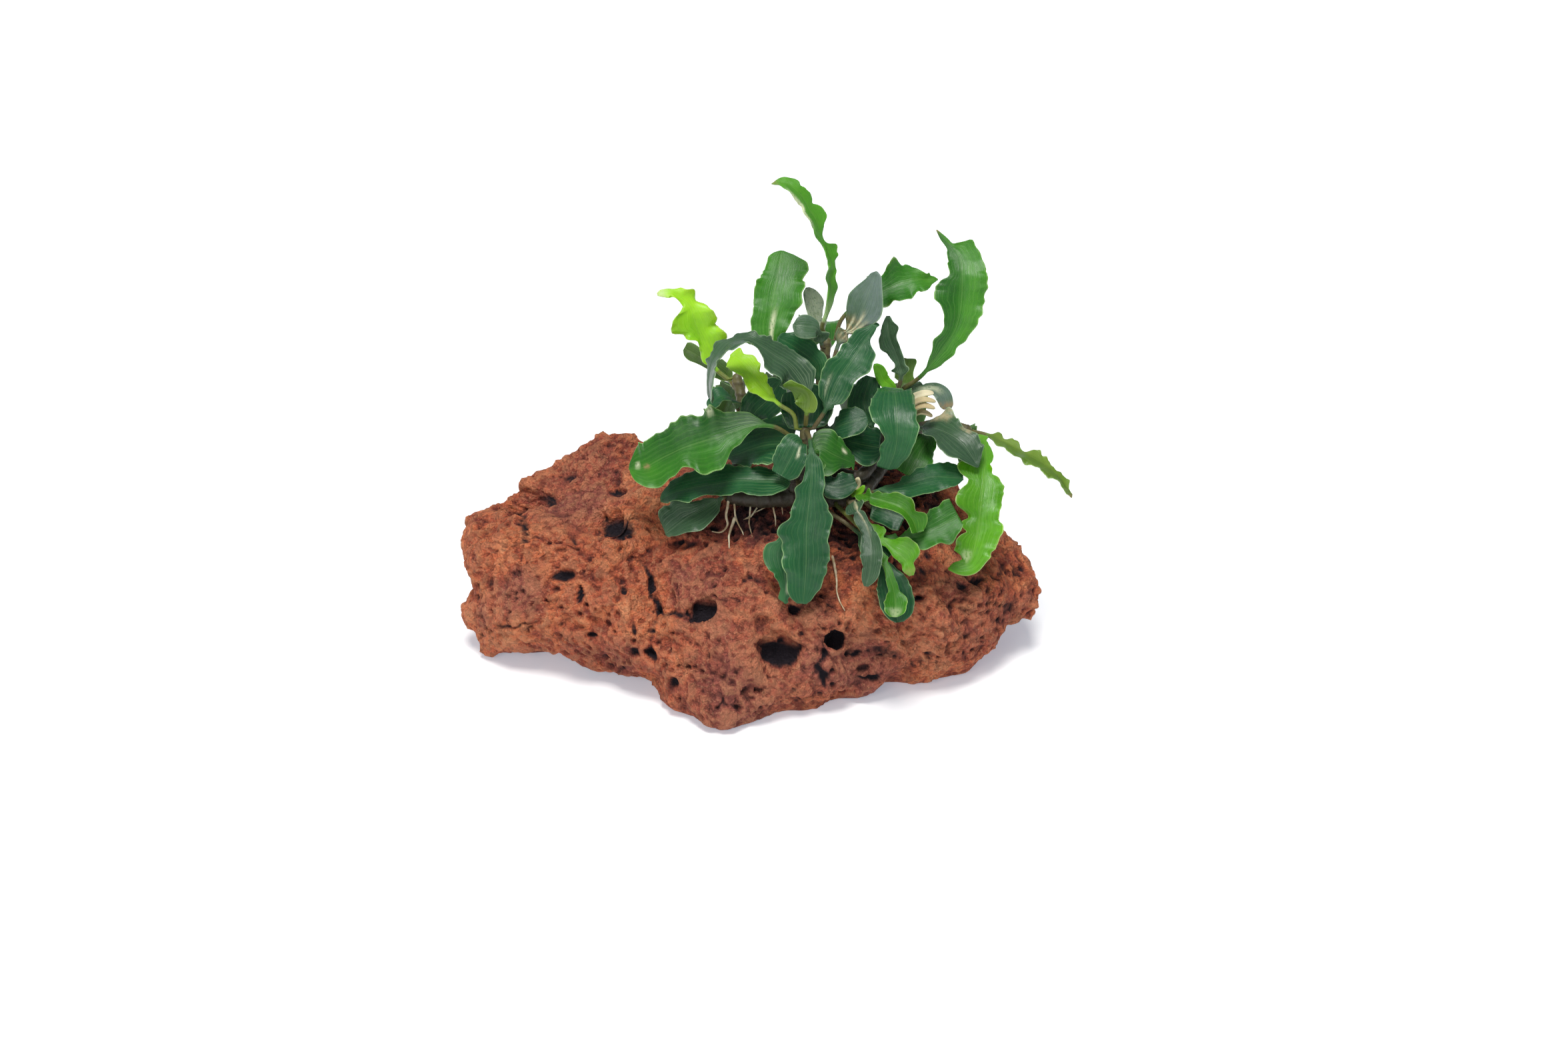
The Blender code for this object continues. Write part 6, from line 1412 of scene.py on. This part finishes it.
# Low leaves of the rhizome
# Small leaves grown straight from the rhizome hang over the front of the stone, some torn or rolled.
LOW_LEAVES = [
    Leaf("leaf_low_right", 0.985, 8.2, ((0, 0.7, 0.8), (0.1, 0.6, 0.9)), (8, 0.6, 2.5), (0.1, 0.6, 0.45),
         tone=(0, 0.1, 0),
         midrib=[(1316, 737, 16.5), (1350, 727, 16), (1400, 716, 14.5), (1445, 718, 13)],
         edge=[(1320, 731), (1335, 727), (1352, 716), (1372, 708), (1390, 698), (1412, 692), (1432, 697),
               (1448, 712), (1432, 731), (1408, 735), (1390, 743), (1368, 747), (1340, 744), (1325, 741)]),
    Leaf("leaf_lime_pod", 0.985, 5.4, ((0, 0.3, 1), (0.6, 0.2, 0.8)), (30, 0.3, 2), (0.1, 0.5, 0.5),
         "leaf_lime", tone=(-1.1, 0.2, 0),
         midrib=[(1298, 745, 22), (1325, 752, 24), (1352, 762, 25.5), (1368, 778, 26), (1376, 800, 26.5)],
         edge=[(1305, 740), (1330, 739), (1352, 743), (1365, 750), (1369, 767), (1389, 771), (1389, 788),
               (1383, 800), (1376, 802), (1366, 802), (1363, 790), (1358, 778), (1345, 769), (1320, 762),
               (1303, 753)]),
    Leaf("leaf_low_wavy", 0.96, 9.6, ((0, 0.5, 1), (0, 0.3, 1)), (8, 0.7, 3.5), (0.35, 1.2, 0.32),
         "leaf_mid", ruffle=0.25, tone=(-0.3, 0, 0),
         midrib=[(1300, 785, 19), (1335, 808, 22.5), (1370, 806, 24), (1405, 792, 24), (1438, 775, 23.5)],
         edge=[(1345, 803), (1358, 799), (1372, 790), (1380, 780), (1390, 771), (1403, 760), (1412, 752),
               (1428, 750), (1438, 760), (1442, 775), (1444, 788), (1438, 803), (1425, 816), (1412, 815),
               (1400, 821), (1385, 824), (1370, 820), (1350, 812)]),
    Leaf("leaf_low_ragged", 0.9, 6, ((0, 0.3, 1), (0, 0.3, 1)), (8, 0.5, 2), (0.3, 0.8, 0.4), "leaf_lime",
         ruffle=0.2, tone=(-0.3, 0, 0),
         midrib=[(1304, 787, 21.5), (1335, 822, 25.5), (1358, 840, 27), (1366, 864, 27.5)],
         edge=[(1322, 806), (1345, 808), (1367, 810), (1378, 822), (1383, 832), (1371, 842), (1373, 855),
               (1368, 865), (1354, 857), (1351, 845), (1340, 835), (1332, 824), (1318, 815), (1312, 808)],
         spots=[(1, 0, 0.1, 2, 0.5, 0)]),
    Leaf("leaf_low_grey", 0.99, 6.4, ((-0.2, 0.1, 1), (-0.2, 0.1, 1)), (10, 0.4, 2), (0.12, 0.6, 0.5),
         "leaf_grey", tone=(-0.5, 0, -0.1),
         midrib=[(1283, 762, 24), (1297, 785, 26), (1306, 815, 28.5), (1306, 850, 30.5), (1299, 880, 31)],
         edge=[(1279, 772), (1286, 790), (1293, 810), (1289, 830), (1293, 848), (1292, 868), (1298, 881),
               (1306, 878), (1316, 868), (1322, 850), (1325, 830), (1316, 802), (1305, 783), (1292, 765)],
         spots=[(0.15, -0.15, 0.3, 0.14, 0.8, 0.5)]),
    Leaf("leaf_low_dark", 0.72, 8.6, ((0, 0.3, 1), (0, 0.2, 1)), (8, 0.3, 2), (0.3, 0.7, 0.42),
         tone=(-0.5, 0, 0),
         midrib=[(1288, 800, 21), (1318, 835, 24), (1338, 880, 26), (1347, 934, 26.5)],
         edge=[(1312, 845), (1316, 862), (1315, 878), (1317, 895), (1325, 920), (1342, 934), (1358, 931),
               (1369, 920), (1372, 905), (1369, 888), (1360, 868), (1345, 850), (1330, 843)]),
    Leaf("leaf_low_spoon", 0.82, 5, ((0, 0.2, 1), (0, 0.5, 1)), (15, 0.2, 1.5), (0.45, 0.8, 0.35),
         "leaf_lime", tone=(-1.3, 0.3, 0),
         midrib=[(1297, 800, 24.5), (1318, 832, 27), (1334, 865, 29.5), (1343, 900, 31), (1343, 926, 32)],
         edge=[(1322, 845), (1327, 858), (1329, 872), (1332, 890), (1327, 905), (1327, 917), (1335, 925),
               (1344, 926), (1356, 921), (1359, 910), (1361, 897), (1353, 888), (1344, 870), (1337, 852),
               (1330, 842)],
         spots=[(0.95, 0, 0.06, 0.6, 0, 0.35)]),
    Leaf("leaf_shade_low", 1, 7.5, ((0, 0.4, 1), (0, 0.4, 1)), (8, 0.3, 2), (0.12, 0.6, 0.5),
         tone=(-0.6, 0, 0),
         midrib=[(1304, 759, 13), (1328, 768, 15), (1356, 778, 16)],
         edge=[(1305, 752), (1330, 750), (1352, 760), (1362, 775), (1358, 790), (1345, 796), (1325, 788),
               (1302, 775)]),
]
for each in LOW_LEAVES:
    make_leaf(each, "rhizome")
# Pale bud scales at the feet of the low leaves: where each leaves the rhizome, its width, midrib,
# finish and tone
BUD_SCALES = [
    (0.86, 2.4, [(1283, 729, 17), (1288, 716, 18.5)], "leaf_dry", 0.6),
    (0.93, 1.8, [(1290, 738, 19), (1297, 728, 20)], "leaf_lime", 0.4),
    (0.90, 1.6, [(1289, 758, 18), (1284, 768, 19)], "leaf_dry", 0.4),
]
for number, (at, width, midrib, finish, tone) in enumerate(BUD_SCALES, 1):
    scale = Leaf(f"bud_scale_{number}", at, width, ((0, 0.3, 1), (0, 0.2, 1)), (30, 0.1, 1),
                 (0.05, 0.3, 0.4), finish, ruffle=0.05, tone=(tone, 0.0, 0.0), midrib=midrib)
    make_leaf(scale, "rhizome", "leaf_olive")

# Leaves of the left shoot
# The left shoot is nearly hidden. One ruffled leaf, yellowed by strong light, stands clear of it.
LEFT_LEAVES = [
    Leaf("leaf_lime_far_left", 0.97, 9, ((0.1, 0, 1), (0.1, 0.5, 0.9)), (10, 0.8, 4), (0.12, 0.6, 0.6),
         "leaf_lime", ruffle=0.4, tone=(0.8, 0.9, 0.1),
         midrib=[(1076, 556, 1), (1060, 530, 2), (1048, 500, 3), (1040, 475, 4), (1035, 460, 4.3),
                 (1020, 447, 4.7), (1005, 438, 5), (986, 443, 5)],
         edge=[(1082, 545), (1092, 520), (1096, 505), (1086, 499), (1077, 492), (1074, 478), (1067, 467),
               (1060, 455), (1049, 446), (1040, 438), (1030, 437), (1022, 431), (1012, 432), (1000, 431),
               (990, 434), (985, 443), (998, 446), (1010, 448), (1021, 453), (1026, 461), (1017, 472),
               (1009, 480), (1009, 489), (1001, 495), (1010, 505), (1022, 503), (1030, 510), (1045, 511),
               (1050, 525), (1052, 540), (1058, 550), (1066, 560)],
         spots=[(1, 0, 0.09, 2, 0, 0.45)]),
    Leaf("leaf_olive_far_left", 0.9, 5.6, ((0, 0.2, 1), (0, 0.2, 1)), (8, 0.2, 1), (0.15, 0.6, 0.4),
         "leaf_olive", ruffle=0.04, tone=(-0.7, 0, 0),
         midrib=[(1085, 560, -5), (1062, 545, -7), (1045, 533, -7.5), (1026, 523, -8)],
         edge=[(1070, 543), (1062, 535), (1050, 522), (1042, 516), (1034, 513), (1027, 518), (1025, 525),
               (1025, 532), (1032, 540), (1042, 544), (1052, 549), (1066, 557), (1072, 560)]),
    Leaf("leaf_left_back", 0.85, 8.5, ((0, 1, 0.2), (-0.4, 0.3, -1)), (10, 0.6, 3), (0.12, 0.7, 0.5),
         "leaf_mid",
         midrib=[(1100, 575, -8), (1096, 582, -16), (1082, 620, -24), (1064, 660, -29)]),
    Leaf("leaf_left_shade", 0.7, 6, ((-0.1, 0.8, 0.6), (-0.1, 0.8, 0.6)), (8, 0.3, 2), (0.1, 0.6, 0.5),
         midrib=[(1100, 600, 7), (1082, 594, 9), (1062, 612, 9)]),
    Leaf("leaf_shade_arch", 0.45, 8.5, ((0, 0.4, 1), (0, 0.2, 1)), (8, 0.4, 2), (0.12, 0.6, 0.5),
         tone=(-0.5, 0, 0),
         midrib=[(1130, 623, 5.5), (1152, 599, 7.5), (1172, 570, 9.5)]),
]
for each in LEFT_LEAVES:
    make_leaf(each, "stem_left")

# Roots
# Cream roots, thinner than twine, grow from under the rhizome, feel down the stone and hold to it.
# Each lies on the stone except where it leaves the rhizome.
ROOT_SIDES = 8
ROOT_STEP = 0.45
LEAST_ROOT_RINGS = 8
# How far a root wanders and how uneven its girth is, each with the size of its swells and its salt
ROOT_WANDER = (0.12, 1.6, 300)
ROOT_UNEVENNESS = (0.15, 1.1, 320)
# Each root: its thickness, then (x, y, how far it stands off the stone) down its length
ROOTS = [
    (0.90, [(1114, 742, 5.2), (1108, 762, 5.4), (1100, 780, 3.2), (1094, 796, 1.2), (1080, 801, 0.8),
            (1066, 800, 0.5)]),
    (0.75, [(1112, 784, 2.6), (1104, 796, 1.8), (1096, 808, 1.0), (1094, 824, 0.3)]),
    (0.75, [(1120, 742, 5.2), (1112, 764, 5.2), (1112, 784, 2.6), (1116, 804, 0.5)]),
    (0.65, [(1131, 744, 5.0), (1136, 758, 4.2), (1141, 773, 1.6)]),
    (0.70, [(1147, 750, 4.6), (1154, 772, 3.2), (1160, 784, 1.4), (1164, 793, 0.4)]),
    (0.55, [(1171, 744, 4.6), (1163, 755, 4.0), (1150, 770, 2.4), (1130, 776, 1.0), (1118, 782, 0.5)]),
    (0.50, [(1162, 756, 4.2), (1173, 768, 3.0), (1172, 780, 1.4)]),
    (0.45, [(1136, 770, 2.0), (1127, 780, 1.2), (1118, 782, 0.6)]),
    (0.45, [(1126, 770, 2.4), (1126, 788, 1.0), (1128, 808, 0.3)]),
    (0.60, [(1248, 835, 1.0), (1254, 865, 0.8), (1256, 895, 0.6), (1266, 917, 0.3)]),
]
# Roots at the back: the thickness, then (x, y, z, how far off the stone), a way from its middle
BACK_ROOTS = [
    (0.8, [(-8, 4, 24, 4.0), (-10, 12, 20, 1.0), (-12, 18, 16, 0.4), (-15, 24, 10, 0.3)]),
    (0.7, [(6, 4, 24, 3.0), (8, 14, 20, 0.8), (5, 22, 14, 0.3), (8, 28, 8, 0.2)]),
    (0.7, [(16, 4, 22, 3.0), (20, 12, 18, 0.8), (25, 16, 14, 0.3), (29, 20, 9, 0.2)]),
    (0.6, [(-4, 5, 24, 3.0), (-2, 13, 22, 0.8), (-4, 20, 17, 0.3)]),
]


def stone_under(x, y, off):
    """The point of the finished stone that shows at a pixel, moved off its skin by a length."""
    apart = np.linalg.norm(in_picture(stone_points) - (x, y), axis=1)
    apart[stone_out @ TOWARD < 0.15] = np.inf
    nearest = np.argmin(apart)
    return stone_points[nearest] + off * stone_out[nearest]


def stone_along(x, y, z, off):
    """The point of the finished stone in a direction from its middle, moved off its skin."""
    nearest = np.argmax(stone_ways @ unit(np.array([x, y, z], float)))
    return stone_points[nearest] + off * stone_out[nearest]


# Colours of root skin: its darker bands and the cream between them
ROOT_COLOURS = ((0.38, 0.27, 0.15), (0.74, 0.65, 0.46))


def root_finish():
    """Cream to tan root skin with darker bands."""
    material, tree, shader = new_finish("root_skin", Specular_IOR_Level=0.3, Subsurface_Weight=0.1,
                                        Subsurface_Scale=0.001)
    where = object_place(tree)
    band = noise(tree, where, 350.0, 4.0)
    colour = blend_colours(tree, rise(tree, band, 0.35, 0.65), *ROOT_COLOURS)
    roughness = rise(tree, band, 0.3, 0.7, 0.5, 0.75)
    finish_sockets(tree, shader, colour, roughness, noise(tree, where, 2500.0), 0.3, 0.0002)
    return material


ROOT_SKIN = root_finish()


def make_root(number, thickness, points):
    """A root as a thin tube that tapers to a third, with a slightly uneven run and girth."""
    length = smooth_path(points, 2)[1]
    path, _ = smooth_path(points, max(int(length / ROOT_STEP), LEAST_ROOT_RINGS))
    share = np.linspace(0.0, 1.0, len(path))
    reach, *swell = ROOT_WANDER
    path = path + reach * soft_shift(path, *swell)
    reach, *swell = ROOT_UNEVENNESS
    girth = thickness / 2 * (1.0 - 0.65 * share) * (1.0 + reach * soft_noise(path, *swell))
    girth[0], girth[-1] = 0.5 * girth[0], 0.4 * girth[-1]
    rings = tube_rings(path, np.repeat(girth[:, None], ROOT_SIDES, axis=1), ROOT_SIDES)
    piece = make_mesh(f"root_{number}", *skin_over(rings, path[0], path[-1]))
    piece.data.materials.append(ROOT_SKIN)
    place(piece, None, "stem")


front_roots = [(thickness, [stone_under(*mark) for mark in marks]) for thickness, marks in ROOTS]
back_roots = [(thickness, [stone_along(*mark) for mark in marks]) for thickness, marks in BACK_ROOTS]
for number, (thickness, points) in enumerate(front_roots + back_roots, 1):
    make_root(number, thickness, points)

# Floor, light and camera
# A pale sheet of card under the stone, a wide soft lamp overhead, a weaker one in front on the left,
# and pale light all round. The camera stands where the picture was taken from.
FLOOR_REACH = 3000.0
FLOOR_CELLS = 40
FLOOR_DROP = 0.05
CARD_COLOURS = ((0.90, 0.885, 0.86), (0.93, 0.925, 0.91))
CARD_GLOW = (0.72, 0.84, 1.0, 1.0)
ROOM_COLOUR = (0.86, 0.92, 1.0, 1.0)
ROOM_STRENGTH = 0.32
SENSOR_WIDTH = 36.0
LENS = SENSOR_WIDTH * EYE_DISTANCE / (2.0 * PICTURE_MIDDLE[0] * PIXEL)
# Each lamp: where it stands and what it faces, its side, its power in watts and its colour
LAMPS = {
    "lamp_overhead": ((-100, -250, 2000), (10, 0, 30), 800, 38.0, (1.0, 0.98, 0.95)),
    "lamp_front": ((-600, -1300, 900), (10, 0, 40), 500, 5.0, (1.0, 0.96, 0.9)),
}


def floor_finish():
    """Matt off-white sheet with a trace of fibre, lit faintly from beneath."""
    material, tree, shader = new_finish("pale_card", Specular_IOR_Level=0.2, Roughness=0.7,
                                        Emission_Color=CARD_GLOW, Emission_Strength=0.32)
    colour = blend_colours(tree, noise(tree, object_place(tree), 6.0), *CARD_COLOURS)
    tree.links.new(colour, shader.inputs["Base Color"])
    return material


steps = np.linspace(-FLOOR_REACH, FLOOR_REACH, FLOOR_CELLS + 1)
floor_points = np.stack(np.meshgrid(steps, steps, -FLOOR_DROP, indexing="ij"), axis=-1).reshape(-1, 3)
index = np.arange(len(floor_points)).reshape(len(steps), len(steps))
corners = [index[:-1, :-1], index[1:, :-1], index[1:, 1:], index[:-1, 1:]]
floor = make_mesh("floor", floor_points, np.stack(corners, axis=-1).reshape(-1, 4))
floor.data.materials.append(floor_finish())


def set_up(name, data, ways, where):
    """A lamp or the camera, turned to its own right, up and back ways and put at a point."""
    piece = bpy.data.objects.new(name, data)
    matrix = np.eye(4)
    matrix[:3, :3] = np.stack(ways, axis=1)
    matrix[:3, 3] = np.array(where, float) * MILLIMETRE
    piece.matrix_world = matrix.T.tolist()
    bpy.context.scene.collection.objects.link(piece)
    return piece


def add_lamp(name, where, aim, size, power, colour):
    """A square soft lamp at a point, turned to face another, in millimetres."""
    lamp = bpy.data.lights.new(name, "AREA")
    lamp.size = size * MILLIMETRE
    lamp.energy = power
    lamp.color = colour
    back = unit(np.array(where, float) - np.array(aim, float))
    right = unit(np.cross((0.0, 1.0, 0.0) if abs(back[2]) > 0.9 else (0.0, 0.0, 1.0), back))
    set_up(name, lamp, [right, np.cross(back, right), back], where)


for name, settings in LAMPS.items():
    add_lamp(name, *settings)

world = bpy.data.worlds.new("pale_room")
bpy.context.scene.world = world
world.use_nodes = True
backdrop = world.node_tree.nodes["Background"]
backdrop.inputs["Color"].default_value = ROOM_COLOUR
backdrop.inputs["Strength"].default_value = ROOM_STRENGTH
bpy.context.scene.view_settings.view_transform = "Standard"

lens = bpy.data.cameras.new("camera")
lens.sensor_width = SENSOR_WIDTH
lens.lens = LENS
lens.clip_start = 0.01
bpy.context.scene.camera = set_up("camera", lens, [ACROSS, UPWARD, TOWARD], AIM + EYE_DISTANCE * TOWARD)
